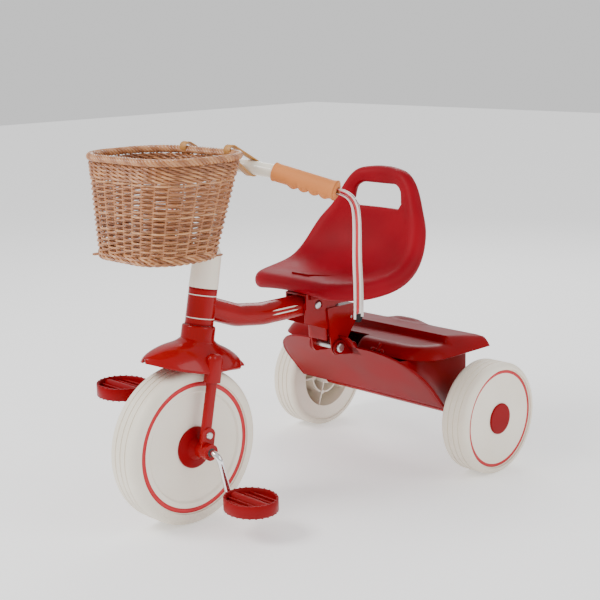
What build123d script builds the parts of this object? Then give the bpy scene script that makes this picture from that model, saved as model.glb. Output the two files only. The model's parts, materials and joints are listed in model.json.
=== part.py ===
"""A child's tricycle: steel frame, moulded wheels, wicker basket, folding rear bin.

Units are millimetres.  +Z is up, the tricycle faces -Y, and the rider's left is +X.
The origin is on the floor, under the middle of the overall length.
"""
from build123d import *
import math
import os

# ---------------------------------------------------------------- overall sizes
FRONT_WHEEL_DIAMETER = 254.0
FRONT_WHEEL_WIDTH = 60.0
REAR_WHEEL_DIAMETER = 197.6
REAR_WHEEL_WIDTH = 56.0
WHEELBASE = 513.0
REAR_TRACK = 422.0
STEER_RAKE = 11.5

# ---------------------------------------------------------------- fits and walls
RUNNING_FIT = 0.06
BODY_GAP = 0.4
SHEET_WALL = 3.0
MOULDED_WALL = 3.5

# ---------------------------------------------------------------- front wheel and cranks
FRONT_TYRE_DEPTH = 19.0
FRONT_SIDE_SET_IN = 3.0
FRONT_DISH_DEPTH = 3.0
FRONT_DISH_RADIUS = 88.0
WHEEL_HUB_WALL = 7.0
TREAD_GROOVE_WIDTH = 2.2
TREAD_GROOVE_DEPTH = 1.2
HUB_FLANGE_RADIUS = 33.5
CRANK_ROD_DIAMETER = 10.0
CRANK_RADIUS = 72.0
CRANK_ANGLE = 14.5
CRANK_ARM_X = 83.0
CRANK_BEND_RADIUS = 14.0
SPINDLE_BEND_RADIUS = 8.0
PEDAL_CENTRE_X = 135.0
PEDAL_LENGTH = 86.0
PEDAL_WIDTH = 78.0
PEDAL_HEIGHT = 20.0
PEDAL_WALL = 3.5
PEDAL_FLOOR = 5.0
PEDAL_RIB = 2.5

# ---------------------------------------------------------------- fork, head and fender
CROWN_GAP = 11.0
CROWN_THICKNESS = 8.0
FORK_LEG_X = 47.0
FORK_LEG_THICKNESS = 12.0
FORK_LEG_WIDTH = 18.5
FORK_LEG_WALL = 1.8
STEERER_DIAMETER = 31.8
STEERER_LENGTH = 154.0
HEAD_TUBE_DIAMETER = 46.0
HEAD_TUBE_WALL = 2.5
HEAD_TUBE_LENGTH = 52.5
HEAD_BUSH_FLANGE = 3.0
HEAD_BUSH_LENGTH = 18.0
COLLAR_DIAMETER = 54.0
COLLAR_LENGTH = 28.2
FENDER_RISE = 26.0
FENDER_FRONT_REACH = 101.0
FENDER_REAR_REACH = 106.0
FENDER_HALF_WIDTH = 51.0
BEARING_DIAMETER = 26.0
BEARING_LENGTH = 25.0
BEARING_BUSH_WALL = 2.0
DROPOUT_BOLT_HEIGHT = 19.0

# ---------------------------------------------------------------- stem, bar, grips
STEM_COVER_DIAMETER = 47.0
STEM_COVER_LENGTH = 74.0
STEM_TAPER_LENGTH = 20.0
POST_DIAMETER = 25.4
POST_WALL = 2.0
BAR_HEIGHT = 285.0
BAR_DIAMETER = 22.0
BAR_WALL = 1.5
BAR_MID_REACH = 90.0
BAR_MID_BACK = 39.0
BAR_MID_DROP = 6.5
BAR_END_REACH = 185.0
BAR_END_BACK = 80.0
BAR_END_DROP = 24.2
BAR_BEND_RADIUS = 45.0
GRIP_DIAMETER = 29.0
GRIP_LENGTH = 105.0
PLUG_THICKNESS = 3.0

# ---------------------------------------------------------------- basket
BASKET_TOP_WIDTH = 243.0
BASKET_TOP_DEPTH = 182.0
BASKET_BOTTOM_WIDTH = 183.0
BASKET_BOTTOM_DEPTH = 143.0
BASKET_HEIGHT = 159.0
BASKET_WALL = 6.0
BASKET_FLOOR = 8.0
BASKET_RIM_ABOVE_BAR = 24.0
BASKET_RIM_AHEAD_OF_BAR = 16.0
BASKET_REAR_LEAN = 41.0
BASKET_CORNER_SHARE = 0.40
STRAP_X = 53.0
STRAP_WIDTH = 15.0
STRAP_THICKNESS = 2.2
STRAP_SLACK = 4.2

# ---------------------------------------------------------------- frame and seat mount
BACKBONE_DIAMETER = 38.0
BACKBONE_WALL = 2.0
BACKBONE_HEIGHT = 310.0
BACKBONE_END_AHEAD_OF_HINGE = 14.0
HINGE_AHEAD_OF_REAR_AXLE = 186.5
HINGE_HEIGHT = 228.0
HINGE_BOLT_DIAMETER = 10.0
BRACKET_FRONT = 74.0
BRACKET_LENGTH = 74.0
BRACKET_BOTTOM = 260.0
BRACKET_TOP = 317.0
BRACKET_BOLT_DIAMETER = 8.0
RAIL_LENGTH = 126.0
RAIL_THICKNESS = 3.0
RAIL_SKIRT = 12.0
SEAT_TRAVEL = 25.0
SEAT_KNOB_DIAMETER = 18.0
SEAT_KNOB_HEIGHT = 14.0
SEAT_SCREW_DIAMETER = 6.0
SEAT_THICKNESS = 5.0
SEAT_FRONT_Y = -88.0
SEAT_HEIGHT = 352.0

# ---------------------------------------------------------------- rear bin, lid, wheels
APRON_BOTTOM_AHEAD_OF_AXLE = 75.6
APRON_BOTTOM_HEIGHT = 120.0
APRON_TOP_BEHIND_HINGE = 20.0
APRON_HALF_WIDTH = 177.0
BIN_HALF_WIDTH = 148.0
BIN_BACK_BEHIND_AXLE = 22.0
BIN_WALL = 3.0
LID_EDGE_HEIGHT = 215.0
LID_HALF_WIDTH = 186.0
LID_FRONT_BEHIND_HINGE = 47.0
LID_BACK_BEHIND_AXLE = 35.5
LID_RISE = 27.0
LID_CORNER_RADIUS = 60.0
LID_NOTCH_HALF_WIDTH = 33.0
LID_NOTCH_DEPTH = 48.0
LOCK_NOSE_REACH = 26.0
LOCK_NOSE_DROP = 8.0
LID_PIN_DIAMETER = 5.0
AXLE_DIAMETER = 9.5
AXLE_HOUSING_DIAMETER = 26.0
REAR_TYRE_DEPTH = 10.8
REAR_SIDE_SET_IN = 3.5
REAR_HUB_RADIUS = 16.0
REAR_RECESS_RADIUS = 61.0
HUB_CAP_RADIUS = 27.5
HUB_CAP_THICKNESS = 3.0
REAR_SPOKES = 5

# ---------------------------------------------------------------- worked-out places
FRONT_R = FRONT_WHEEL_DIAMETER / 2
REAR_R = REAR_WHEEL_DIAMETER / 2
FRONT_AXLE_Y = (FRONT_R - REAR_R - WHEELBASE) / 2
REAR_AXLE_Y = FRONT_AXLE_Y + WHEELBASE
HINGE_Y = REAR_AXLE_Y - HINGE_AHEAD_OF_REAR_AXLE
RAKE = math.radians(STEER_RAKE)
STEER_DIR = Vector(0, math.sin(RAKE), math.cos(RAKE))
STEER_PLANE = Plane(origin=(0, FRONT_AXLE_Y, FRONT_R), x_dir=(1, 0, 0), z_dir=STEER_DIR)
CRANK_R = CRANK_ROD_DIAMETER / 2
CRANK_TURN = math.radians(CRANK_ANGLE)
CRANK_DOWN = Vector(0, CRANK_RADIUS * math.sin(CRANK_TURN), -CRANK_RADIUS * math.cos(CRANK_TURN))
CROWN_BOTTOM = FRONT_R + CROWN_GAP
CROWN_TOP = CROWN_BOTTOM + CROWN_THICKNESS
COLLAR_BOTTOM = FRONT_R + CROWN_GAP + FENDER_RISE
COLLAR_TOP = COLLAR_BOTTOM + COLLAR_LENGTH
HEAD_BOTTOM = COLLAR_TOP + BODY_GAP + HEAD_BUSH_FLANGE
HEAD_TOP = HEAD_BOTTOM + HEAD_TUBE_LENGTH
STEM_BOTTOM = HEAD_TOP + HEAD_BUSH_FLANGE + BODY_GAP
STEM_TOP = STEM_BOTTOM + STEM_COVER_LENGTH
STEERER_TOP = CROWN_TOP + STEERER_LENGTH
BAR_S = COLLAR_TOP - COLLAR_LENGTH + BAR_HEIGHT + 3.0
SIDES = {"left": 1, "right": -1}

nodes = {}


# ---------------------------------------------------------------- helpers
def steered(shape):
    """Place a shape built about the steering axis, with its zero at the front axle."""
    return STEER_PLANE.location * shape


def steer_point(x, back, up):
    """A point given in the steering frame, as a point of the whole tricycle."""
    return STEER_PLANE.from_local_coords(Vector(x, back, up))


def turned_about_x(outline):
    """Revolve a closed outline of (x, radius) points about the X axis."""
    face = make_face(Polyline(*[(x, 0, r) for x, r in outline], close=True))
    return revolve(face, Axis.X, 360)


def rod_x(radius, x_from, x_to, y=0.0, z=0.0):
    """A round rod along X."""
    middle = ((x_from + x_to) / 2, y, z)
    return Pos(*middle) * Rot(0, 90, 0) * Cylinder(radius, abs(x_to - x_from))


def plate_x(outline, x_from, x_to):
    """A flat plate with a (y, z) outline, between two places along X."""
    face = make_face(Polyline(*[(x_from, y, z) for y, z in outline], close=True))
    return extrude(face, amount=x_to - x_from, dir=(1, 0, 0))


def ring(radius_out, radius_in, bottom, height):
    """A tube along Z that starts at the given height."""
    middle = bottom + height / 2
    return Pos(0, 0, middle) * (Cylinder(radius_out, height) - Cylinder(radius_in, height))


def solid_between(low, high):
    """A block between two corners."""
    size = [b - a for a, b in zip(low, high)]
    middle = [(a + b) / 2 for a, b in zip(low, high)]
    return Pos(*middle) * Box(*size)


def swept_rod(points, radii, radius):
    """A round rod along straight runs joined by tangent arcs."""
    path = FilletPolyline(*points, radius=radii)
    start = Plane(origin=path @ 0, z_dir=path % 0)
    return sweep(start * Circle(radius), path=path)


def mirrored(shape):
    """The same shape on the other side of the tricycle."""
    return mirror(shape, about=Plane.YZ)


def both_sides(shape):
    """Two separate solids, one on each side."""
    return Compound(children=[*shape.solids(), *mirrored(shape).solids()])


def moved_apart(grid, distance):
    """A grid of points moved along the surface's own normals."""
    rows = len(grid)
    columns = len(grid[0])
    result = []
    for i in range(rows):
        line = []
        for j in range(columns):
            along = grid[min(i + 1, rows - 1)][j] - grid[max(i - 1, 0)][j]
            across = grid[i][min(j + 1, columns - 1)] - grid[i][max(j - 1, 0)]
            line.append(grid[i][j] + along.cross(across).normalized() * distance)
        result.append(line)
    return result


def skin_solid(grid, distance):
    """A shell of even thickness on a smooth surface through a grid of points."""
    near = Face.make_surface_from_array_of_points(grid)
    far = Face.make_surface_from_array_of_points(moved_apart(grid, distance))
    walls = []
    for edge in near.edges():
        mate = min(far.edges(), key=lambda other: (other @ 0.5 - edge @ 0.5).length)
        walls.append(Face.make_surface_from_curves(edge, mate))
    shell = Solid(Shell([near, far, *walls]))
    return shell if shell.volume > 0 else Solid(shell.wrapped.Reversed())


# ---------------------------------------------------------------- front wheel
def front_tyre():
    """The moulded tread band, with rounded shoulders and shallow grooves."""
    band = Rectangle(FRONT_WHEEL_WIDTH, FRONT_TYRE_DEPTH)
    band = fillet(band.vertices().filter_by(lambda v: v.Y > 0), FRONT_TYRE_DEPTH * 0.6)
    face = Plane.XZ * Pos(0, FRONT_R - FRONT_TYRE_DEPTH / 2) * band
    tyre = revolve(face, Axis.X, 360)
    groove = ring_x(FRONT_R + 1, FRONT_R - TREAD_GROOVE_DEPTH, TREAD_GROOVE_WIDTH)
    for place in (-0.2, 0, 0.2):
        tyre -= Pos(place * FRONT_WHEEL_WIDTH, 0, 0) * groove
    return at_front_axle(tyre)


def ring_x(radius_out, radius_in, width):
    """A ring about X, centred on the origin."""
    return Rot(0, 90, 0) * (Cylinder(radius_out, width) - Cylinder(radius_in, width))


def at_front_axle(shape):
    return Pos(0, FRONT_AXLE_Y, FRONT_R) * shape


def front_wheel_half():
    """The left half of the hollow wheel: rim, dished side and half of the hub."""
    side = FRONT_WHEEL_WIDTH / 2 - FRONT_SIDE_SET_IN
    rim = FRONT_R - FRONT_TYRE_DEPTH
    wall = MOULDED_WALL
    dish = side - FRONT_DISH_DEPTH
    outline = [
        (0, rim), (side, rim), (side, FRONT_DISH_RADIUS + 3), (dish, FRONT_DISH_RADIUS),
        (dish, CRANK_R), (0, CRANK_R), (0, CRANK_R + WHEEL_HUB_WALL),
        (dish - wall, CRANK_R + WHEEL_HUB_WALL), (dish - wall, FRONT_DISH_RADIUS),
        (side - wall, FRONT_DISH_RADIUS + 3), (side - wall, rim - wall), (0, rim - wall),
    ]
    return at_front_axle(turned_about_x(outline))


def hub_flanges():
    """The red cone on each side of the front wheel, keyed to the crank rod."""
    start = FRONT_WHEEL_WIDTH / 2 - FRONT_SIDE_SET_IN - FRONT_DISH_DEPTH
    end = bearing_inner_x() - BODY_GAP
    boss = BEARING_DIAMETER / 2
    outline = [(start, CRANK_R), (start, HUB_FLANGE_RADIUS), (start + 3, HUB_FLANGE_RADIUS),
               (start + 7, boss + 6), (end, boss), (end, CRANK_R)]
    return at_front_axle(both_sides(turned_about_x(outline)))


def bearing_inner_x():
    return FORK_LEG_X - FORK_LEG_THICKNESS / 2


def crank_axle():
    """One bent rod: the axle, both crank arms and both pedal spindles."""
    down = CRANK_DOWN
    tip = PEDAL_CENTRE_X + PEDAL_LENGTH / 2 - PEDAL_WALL - 2
    points = [
        Vector(tip, 0, 0) + down, Vector(CRANK_ARM_X, 0, 0) + down, Vector(CRANK_ARM_X, 0, 0),
        Vector(-CRANK_ARM_X, 0, 0), Vector(-CRANK_ARM_X, 0, 0) - down, Vector(-tip, 0, 0) - down,
    ]
    bends = [SPINDLE_BEND_RADIUS, CRANK_BEND_RADIUS, CRANK_BEND_RADIUS, SPINDLE_BEND_RADIUS]
    return at_front_axle(swept_rod(points, bends, CRANK_R))


def pedal():
    """A round moulded pedal: a deep rim, a ribbed floor and a blind bore for its spindle."""
    outer = extrude(Ellipse(PEDAL_LENGTH / 2, PEDAL_WIDTH / 2), PEDAL_HEIGHT / 2, both=True)
    inner = Ellipse(PEDAL_LENGTH / 2 - PEDAL_WALL, PEDAL_WIDTH / 2 - PEDAL_WALL)
    body = outer
    recess = extrude(inner, (PEDAL_HEIGHT - PEDAL_FLOOR) / 2)
    for start in (PEDAL_FLOOR / 2, -PEDAL_HEIGHT / 2):
        body -= Pos(0, 0, start) * recess
    hub_radius = CRANK_R + PEDAL_WALL
    keep = extrude(inner, PEDAL_HEIGHT / 2, both=True)
    hub = rod_x(hub_radius, -PEDAL_LENGTH / 2, PEDAL_LENGTH / 2)
    for place in (-0.62, -0.31, 0.31, 0.62):
        rib = Pos(0, place * PEDAL_WIDTH / 2, 0) * Box(PEDAL_LENGTH, PEDAL_RIB, PEDAL_HEIGHT * 0.7)
        hub += rib
    body += hub & keep
    bore_end = PEDAL_LENGTH / 2 - PEDAL_WALL
    return body - rod_x(CRANK_R + RUNNING_FIT, -PEDAL_LENGTH, bore_end)


# ---------------------------------------------------------------- fork and head
def steerer_tube():
    return steered(ring(STEERER_DIAMETER / 2, POST_DIAMETER / 2, CROWN_TOP, STEERER_LENGTH))


def fork_crown():
    """The thick plate over the wheel that joins the steerer to both legs."""
    reach = FORK_LEG_X + FORK_LEG_THICKNESS / 2
    plate = Box(2 * reach, FORK_LEG_WIDTH + 8, CROWN_THICKNESS)
    plate = fillet(plate.edges().filter_by(Axis.Z), 6)
    return steered(Pos(0, 0, CROWN_BOTTOM + CROWN_THICKNESS / 2) * plate)


def leg_section(grow=0.0):
    """The flattened tube of a fork leg, seen along the leg."""
    return RectangleRounded(FORK_LEG_THICKNESS + 2 * grow, FORK_LEG_WIDTH + 2 * grow,
                            FORK_LEG_THICKNESS / 2 + grow - 0.2)


def fork_legs():
    bottom = BEARING_DIAMETER / 2 - 3
    leg = extrude(leg_section() - leg_section(-FORK_LEG_WALL), CROWN_BOTTOM - bottom)
    leg = Pos(FORK_LEG_X, 0, bottom) * leg
    leg -= rod_x(BEARING_DIAMETER / 2, 0, 2 * FORK_LEG_X)
    leg -= rod_x(dropout_bolt_radius(), 0, 2 * FORK_LEG_X, 0, DROPOUT_BOLT_HEIGHT + 6)
    return steered(both_sides(leg))


def dropout_bolt_radius():
    return 3.0


def bearing_brackets():
    """The sleeve that holds the crank rod, with the ear that is bolted to the fork leg."""
    inner = bearing_inner_x()
    outer_face = FORK_LEG_X + FORK_LEG_THICKNESS / 2
    sleeve = rod_x(BEARING_DIAMETER / 2, inner, inner + BEARING_LENGTH)
    ear_half = FORK_LEG_WIDTH / 2 + 3
    ear_top = DROPOUT_BOLT_HEIGHT + 6 + ear_half
    ear = extrude(Plane.YZ * Pos(0, ear_top / 2 - 3) * RectangleRounded(
        2 * ear_half, ear_top + 6, ear_half - 0.5), SHEET_WALL)
    bracket = sleeve + Pos(outer_face, 0, 0) * ear
    bracket -= rod_x(CRANK_R + RUNNING_FIT + BEARING_BUSH_WALL, 0, 2 * FORK_LEG_X)
    bracket -= rod_x(dropout_bolt_radius(), 0, 2 * FORK_LEG_X, 0, DROPOUT_BOLT_HEIGHT + 6)
    return steered(both_sides(bracket))


def bearing_bushes():
    inner = bearing_inner_x()
    bush = rod_x(CRANK_R + RUNNING_FIT + BEARING_BUSH_WALL, inner, inner + BEARING_LENGTH)
    bush -= rod_x(CRANK_R + RUNNING_FIT, 0, 2 * FORK_LEG_X)
    return steered(both_sides(bush))


def dropout_bolts():
    """A domed bolt through each leg and bracket ear."""
    head_face = FORK_LEG_X + FORK_LEG_THICKNESS / 2 + SHEET_WALL
    height = DROPOUT_BOLT_HEIGHT + 6
    shank = rod_x(dropout_bolt_radius(), FORK_LEG_X - FORK_LEG_THICKNESS / 2, head_face, 0, height)
    dome = Pos(head_face, 0, height) * Rot(0, 90, 0) * Cylinder(6, 3.2, align=(
        Align.CENTER, Align.CENTER, Align.MIN))
    dome = fillet(dome.edges().filter_by(GeomType.CIRCLE).sort_by(Axis.X)[-1], 2.6)
    return steered(both_sides(shank + dome))


def fender_half_width(t):
    """Half width of the fender at a share of the way from the front tip to the rear tip."""
    front = math.sin(math.pi * min(1, t / 0.95)) ** 0.62
    return 3 + FENDER_HALF_WIDTH * front * (1 - 0.28 * max(0, t - 0.45) / 0.55)


def fender_grid():
    """Points on the outside of the saddle-shaped fender, in the steering frame."""
    stations = 11
    across = 9
    edge = CROWN_BOTTOM - 8
    top = COLLAR_BOTTOM
    grid = []
    for i in range(stations):
        t = i / (stations - 1)
        back = -FENDER_FRONT_REACH + t * (FENDER_FRONT_REACH + FENDER_REAR_REACH)
        reach = FENDER_FRONT_REACH if back < 0 else FENDER_REAR_REACH
        ridge = top - (top - edge - 1) * (abs(back) / reach) ** 1.7
        line = []
        for j in range(across):
            u = -1 + 2 * j / (across - 1)
            height = ridge - (ridge - edge) * abs(u) ** 2.2
            line.append(Vector(u * fender_half_width(t), back, height - 7 * max(0, t - 0.6)))
        grid.append(line)
    return grid


def fender():
    """A leaf-shaped pressed fender with a neck and an ear over each fork leg."""
    skin = skin_solid(fender_grid(), -2.0)
    neck = ring(COLLAR_DIAMETER / 2, STEERER_DIAMETER / 2, COLLAR_BOTTOM - 4, COLLAR_LENGTH + 4)
    ear_bottom = CROWN_BOTTOM - 30
    ear = extrude(leg_section(3), CROWN_TOP + 6 - ear_bottom)
    ear = fillet(ear.faces().sort_by(Axis.Z)[-1].outer_wire().edges(), 5)
    ear = Pos(FORK_LEG_X, 0, ear_bottom) * ear
    leg_hole = Pos(FORK_LEG_X, 0, ear_bottom) * extrude(leg_section(), CROWN_TOP - ear_bottom)
    shape = skin + neck + ear + mirrored(ear)
    shape -= leg_hole
    shape -= mirrored(leg_hole)
    crown_hole = solid_between(
        (-FORK_LEG_X - 6, -FORK_LEG_WIDTH / 2 - 4, CROWN_BOTTOM - 40),
        (FORK_LEG_X + 6, FORK_LEG_WIDTH / 2 + 4, CROWN_TOP))
    shape -= crown_hole
    shape -= Pos(0, 0, CROWN_TOP) * Cylinder(STEERER_DIAMETER / 2, 120)
    return steered(max(shape.solids(), key=lambda s: s.volume))


def head_tube():
    outer = HEAD_TUBE_DIAMETER / 2
    return steered(ring(outer, outer - HEAD_TUBE_WALL, HEAD_BOTTOM, HEAD_TUBE_LENGTH))


def head_bushes():
    """The flanged bush pressed into each end of the head tube."""
    bore = STEERER_DIAMETER / 2 + RUNNING_FIT
    flange = HEAD_TUBE_DIAMETER / 2
    body = flange - HEAD_TUBE_WALL
    lower = ring(flange, bore, HEAD_BOTTOM - HEAD_BUSH_FLANGE, HEAD_BUSH_FLANGE)
    lower += ring(body, bore, HEAD_BOTTOM, HEAD_BUSH_LENGTH)
    upper = ring(flange, bore, HEAD_TOP, HEAD_BUSH_FLANGE)
    upper += ring(body, bore, HEAD_TOP - HEAD_BUSH_LENGTH, HEAD_BUSH_LENGTH)
    return steered(Compound(children=[*lower.solids(), *upper.solids()]))


# ---------------------------------------------------------------- stem, bar, grips
def bar_points():
    """The handlebar's corners in the steering frame, from left to right."""
    right = [
        (0, 0, BAR_S),
        (-BAR_MID_REACH, BAR_MID_BACK, BAR_S - BAR_MID_DROP),
        (-BAR_END_REACH, BAR_END_BACK, BAR_S - BAR_END_DROP),
    ]
    left = [(-x, back, up) for x, back, up in reversed(right[1:])]
    return [Vector(*point) for point in left + right]


def handlebar():
    outer = swept_rod(bar_points(), BAR_BEND_RADIUS, BAR_DIAMETER / 2)
    inner = swept_rod(bar_points(), BAR_BEND_RADIUS, BAR_DIAMETER / 2 - BAR_WALL)
    return steered(outer - inner)


def handlebar_post():
    """The post that slides into the steerer and is coped to the bar."""
    bottom = CROWN_TOP + 40
    post = ring(POST_DIAMETER / 2, POST_DIAMETER / 2 - POST_WALL, bottom, BAR_S - bottom)
    post -= swept_rod(bar_points(), BAR_BEND_RADIUS, BAR_DIAMETER / 2)
    return steered(max(post.solids(), key=lambda s: s.volume))


def stem_cover():
    """The smooth moulded sleeve between the head tube and the post."""
    foot = STEM_COVER_DIAMETER / 2
    post = POST_DIAMETER / 2
    taper = STEM_TOP - STEM_TAPER_LENGTH
    outline = [
        (0, STEM_BOTTOM), (foot, STEM_BOTTOM), (foot - 1, taper), (post + 2, STEM_TOP), (0, STEM_TOP),
    ]
    face = make_face(Polyline(*[(r, 0, s) for r, s in outline], close=True))
    cover = revolve(face, Axis.Z, 360)
    cover -= Pos(0, 0, (STEM_BOTTOM + STEERER_TOP) / 2 - 5) * Cylinder(
        STEERER_DIAMETER / 2, STEERER_TOP - STEM_BOTTOM + 10)
    cover -= Pos(0, 0, STEM_TOP) * Cylinder(post, 2 * STEM_COVER_LENGTH)
    return steered(cover)


def bar_end_plane():
    """The plane across the left end of the handlebar, facing outwards."""
    points = bar_points()
    return Plane(origin=points[0], z_dir=points[0] - points[1])


def left_grip():
    """A sleeve on the last straight run, with four finger swells underneath."""
    end = bar_end_plane()
    sleeve = end * Pos(0, 0, -GRIP_LENGTH / 2) * Cylinder(GRIP_DIAMETER / 2, GRIP_LENGTH)
    sleeve = fillet(sleeve.edges().filter_by(GeomType.CIRCLE), 2)
    sleeve -= swept_rod(bar_points(), BAR_BEND_RADIUS, BAR_DIAMETER / 2)
    return max(sleeve.solids(), key=lambda s: s.volume)


def streamer_plugs():
    """The round plug in each end of the bar, which holds the streamers."""
    end = bar_end_plane()
    cap = end * Pos(0, 0, PLUG_THICKNESS / 2) * Cylinder(GRIP_DIAMETER / 2 - 1, PLUG_THICKNESS)
    spigot = end * Pos(0, 0, -6) * Cylinder(BAR_DIAMETER / 2 - BAR_WALL, 12)
    return steered(both_sides(cap + spigot))


# ---------------------------------------------------------------- basket
def basket_outline(width, depth, rear_y, height):
    """The rounded outline of the basket at one height, in the tricycle's frame."""
    corner = BASKET_CORNER_SHARE * depth
    plane = Plane(origin=(0, rear_y - depth / 2, height), z_dir=(0, 0, 1))
    return plane * RectangleRounded(width, depth, corner)


def basket_places():
    """Rear edge and height of the rim, then of the foot."""
    bar = steer_point(0, 0, BAR_S)
    rim_y = bar.Y - BASKET_RIM_AHEAD_OF_BAR
    rim_z = bar.Z + BASKET_RIM_ABOVE_BAR
    return (rim_y, rim_z), (rim_y - BASKET_REAR_LEAN, rim_z - BASKET_HEIGHT)


def basket():
    """A closed solid of the basket's true shape, open at the top."""
    rim, foot = basket_places()
    outer = loft([
        basket_outline(BASKET_BOTTOM_WIDTH, BASKET_BOTTOM_DEPTH, *foot),
        basket_outline(BASKET_TOP_WIDTH, BASKET_TOP_DEPTH, *rim),
    ])
    thin = BASKET_WALL
    floor_share = BASKET_FLOOR / BASKET_HEIGHT
    floor_y = foot[0] + (rim[0] - foot[0]) * floor_share - thin
    width = BASKET_BOTTOM_WIDTH + (BASKET_TOP_WIDTH - BASKET_BOTTOM_WIDTH) * floor_share
    depth = BASKET_BOTTOM_DEPTH + (BASKET_TOP_DEPTH - BASKET_BOTTOM_DEPTH) * floor_share
    inner = loft([
        basket_outline(width - 2 * thin, depth - 2 * thin, floor_y, foot[1] + BASKET_FLOOR),
        basket_outline(BASKET_TOP_WIDTH - 2 * thin, BASKET_TOP_DEPTH - 2 * thin,
                       rim[0] - thin, rim[1]),
    ])
    return outer - inner


def bar_centre_at(x):
    """Centre of the handlebar at a distance from the middle, as (y, z)."""
    share = x / BAR_MID_REACH
    point = steer_point(x, share * BAR_MID_BACK, BAR_S - share * BAR_MID_DROP)
    return point.Y, point.Z


def left_strap():
    """A leather loop round the handlebar and the basket's rear rim."""
    (rim_y, rim_z), _ = basket_places()
    bar_y, bar_z = bar_centre_at(STRAP_X)
    round_bar = BAR_DIAMETER / 2 + STRAP_SLACK
    round_rim = BASKET_WALL / 2 + 2.0
    rim_mid_y = rim_y - BASKET_WALL / 2 - 1
    rim_mid_z = rim_z - 3

    def loop(grow):
        near = Pos(bar_y, bar_z) * Circle(round_bar + grow)
        far = Pos(rim_mid_y, rim_mid_z) * Circle(round_rim + grow)
        return make_hull([*near.edges(), *far.edges()])

    flat = loop(STRAP_THICKNESS) - loop(0)
    band = extrude(Plane.YZ.offset(STRAP_X - STRAP_WIDTH / 2) * flat, STRAP_WIDTH)
    return band


def strap_buckles():
    """A small square frame on top of each strap."""
    bar_y, bar_z = bar_centre_at(STRAP_X)
    lift = BAR_DIAMETER / 2 + STRAP_SLACK + STRAP_THICKNESS
    frame_plate = Box(STRAP_WIDTH + 6, 13, 2) - Box(STRAP_WIDTH - 2, 7, 2)
    buckle = Pos(STRAP_X, bar_y + lift + 1.0, bar_z) * Rot(90, 0, 0) * frame_plate
    return both_sides(buckle)


# ---------------------------------------------------------------- streamers
# Each streamer leaves the plug, bends over and hangs: (out, down) from the plug's face.
STREAMER_WIDTH = 6.0
STREAMER_BEND = [(0, 0), (10.5, 2.7), (20, 8.2), (26.5, 16.5), (30, 29)]
STREAMER_HANG = [(31, 0.29), (30, 0.54), (32, 0.79), (31, 1.0)]
STREAMER_DROP = {"left": 190.0, "right": 150.0}
# (sideways, over the top, extra length) for each streamer of one handle
STREAMER_SPREAD = [
    (0.0, 3.3, -3.0), (6.6, 3.3, 4.0), (-6.6, 3.3, -6.0), (3.4, -3.3, 0.0), (-3.4, -3.3, 6.0),
]
STREAMER_FAN = 0.35


def streamer_route(side, spread):
    """The corners of one streamer's path in the tricycle's frame."""
    face = steer_plane_end()
    out = Vector(face.z_dir.X, face.z_dir.Y, 0).normalized()
    aside = Vector(0, 0, 1).cross(out)
    drop = STREAMER_DROP[side] + spread[2]
    flat = STREAMER_BEND + [(reach, share * drop) for reach, share in STREAMER_HANG]
    route = []
    for i, (reach, down) in enumerate(flat):
        before = flat[max(i - 1, 0)]
        after = flat[min(i + 1, len(flat) - 1)]
        run = math.hypot(after[0] - before[0], after[1] - before[1])
        over_out = (after[1] - before[1]) / run
        over_up = (after[0] - before[0]) / run
        wide = spread[0] * (1 + STREAMER_FAN * down / drop)
        point = face.origin + out * (reach + over_out * spread[1]) + aside * wide
        route.append(point + Vector(0, 0, over_up * spread[1] - down))
    if side == "right":
        route = [Vector(-p.X, p.Y, p.Z) for p in route]
    return route


def steer_plane_end():
    """The outer face of the left plug, as a plane in the tricycle's frame."""
    end = bar_end_plane()
    tip = end.origin + end.z_dir * PLUG_THICKNESS
    origin = STEER_PLANE.from_local_coords(tip)
    ahead = STEER_PLANE.from_local_coords(tip + end.z_dir)
    return Plane(origin=origin, z_dir=ahead - origin)


def arc_radii(route):
    """The largest tangent arc that the two runs at each corner leave room for."""
    radii = []
    for i in range(1, len(route) - 1):
        before = route[i] - route[i - 1]
        after = route[i + 1] - route[i]
        half_turn = math.radians(before.get_angle(after)) / 2
        radii.append(0.45 * min(before.length, after.length) / math.tan(half_turn))
    return radii


def streamer(side, index):
    route = streamer_route(side, STREAMER_SPREAD[index])
    radii = arc_radii(route)
    tube = swept_rod(route, radii, STREAMER_WIDTH / 2)
    length = tube.volume / (math.pi * STREAMER_WIDTH ** 2 / 4)
    print(f"streamer {side} {index + 1}: smallest radius {min(radii):.1f}, length {length:.1f}")
    return tube


# ---------------------------------------------------------------- frame
def backbone_tube():
    """The tube from the head tube to the bracket, with a shallow double bend."""
    head = steer_point(0, 0, (HEAD_BOTTOM + HEAD_TOP) / 2)
    end_y = HINGE_Y - BACKBONE_END_AHEAD_OF_HINGE
    points = [
        Vector(0, head.Y, head.Z),
        Vector(0, head.Y + 72, BACKBONE_HEIGHT + (head.Z - BACKBONE_HEIGHT) * 0.22),
        Vector(0, head.Y + 128, BACKBONE_HEIGHT),
        Vector(0, end_y, BACKBONE_HEIGHT),
    ]
    outer = swept_rod(points, [70, 120], BACKBONE_DIAMETER / 2)
    inner = swept_rod(points, [70, 120], BACKBONE_DIAMETER / 2 - BACKBONE_WALL)
    tube = outer - inner
    tube -= steered(Pos(0, 0, (HEAD_BOTTOM + HEAD_TOP) / 2) * Cylinder(HEAD_TUBE_DIAMETER / 2, 200))
    tube -= bracket_bolt_hole()
    return max(tube.solids(), key=lambda s: s.volume)


def bracket_bolt_place():
    return HINGE_Y - 45.0, BACKBONE_HEIGHT


def bracket_bolt_hole():
    y, z = bracket_bolt_place()
    return rod_x(BRACKET_BOLT_DIAMETER / 2, -60, 60, y, z)


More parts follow.
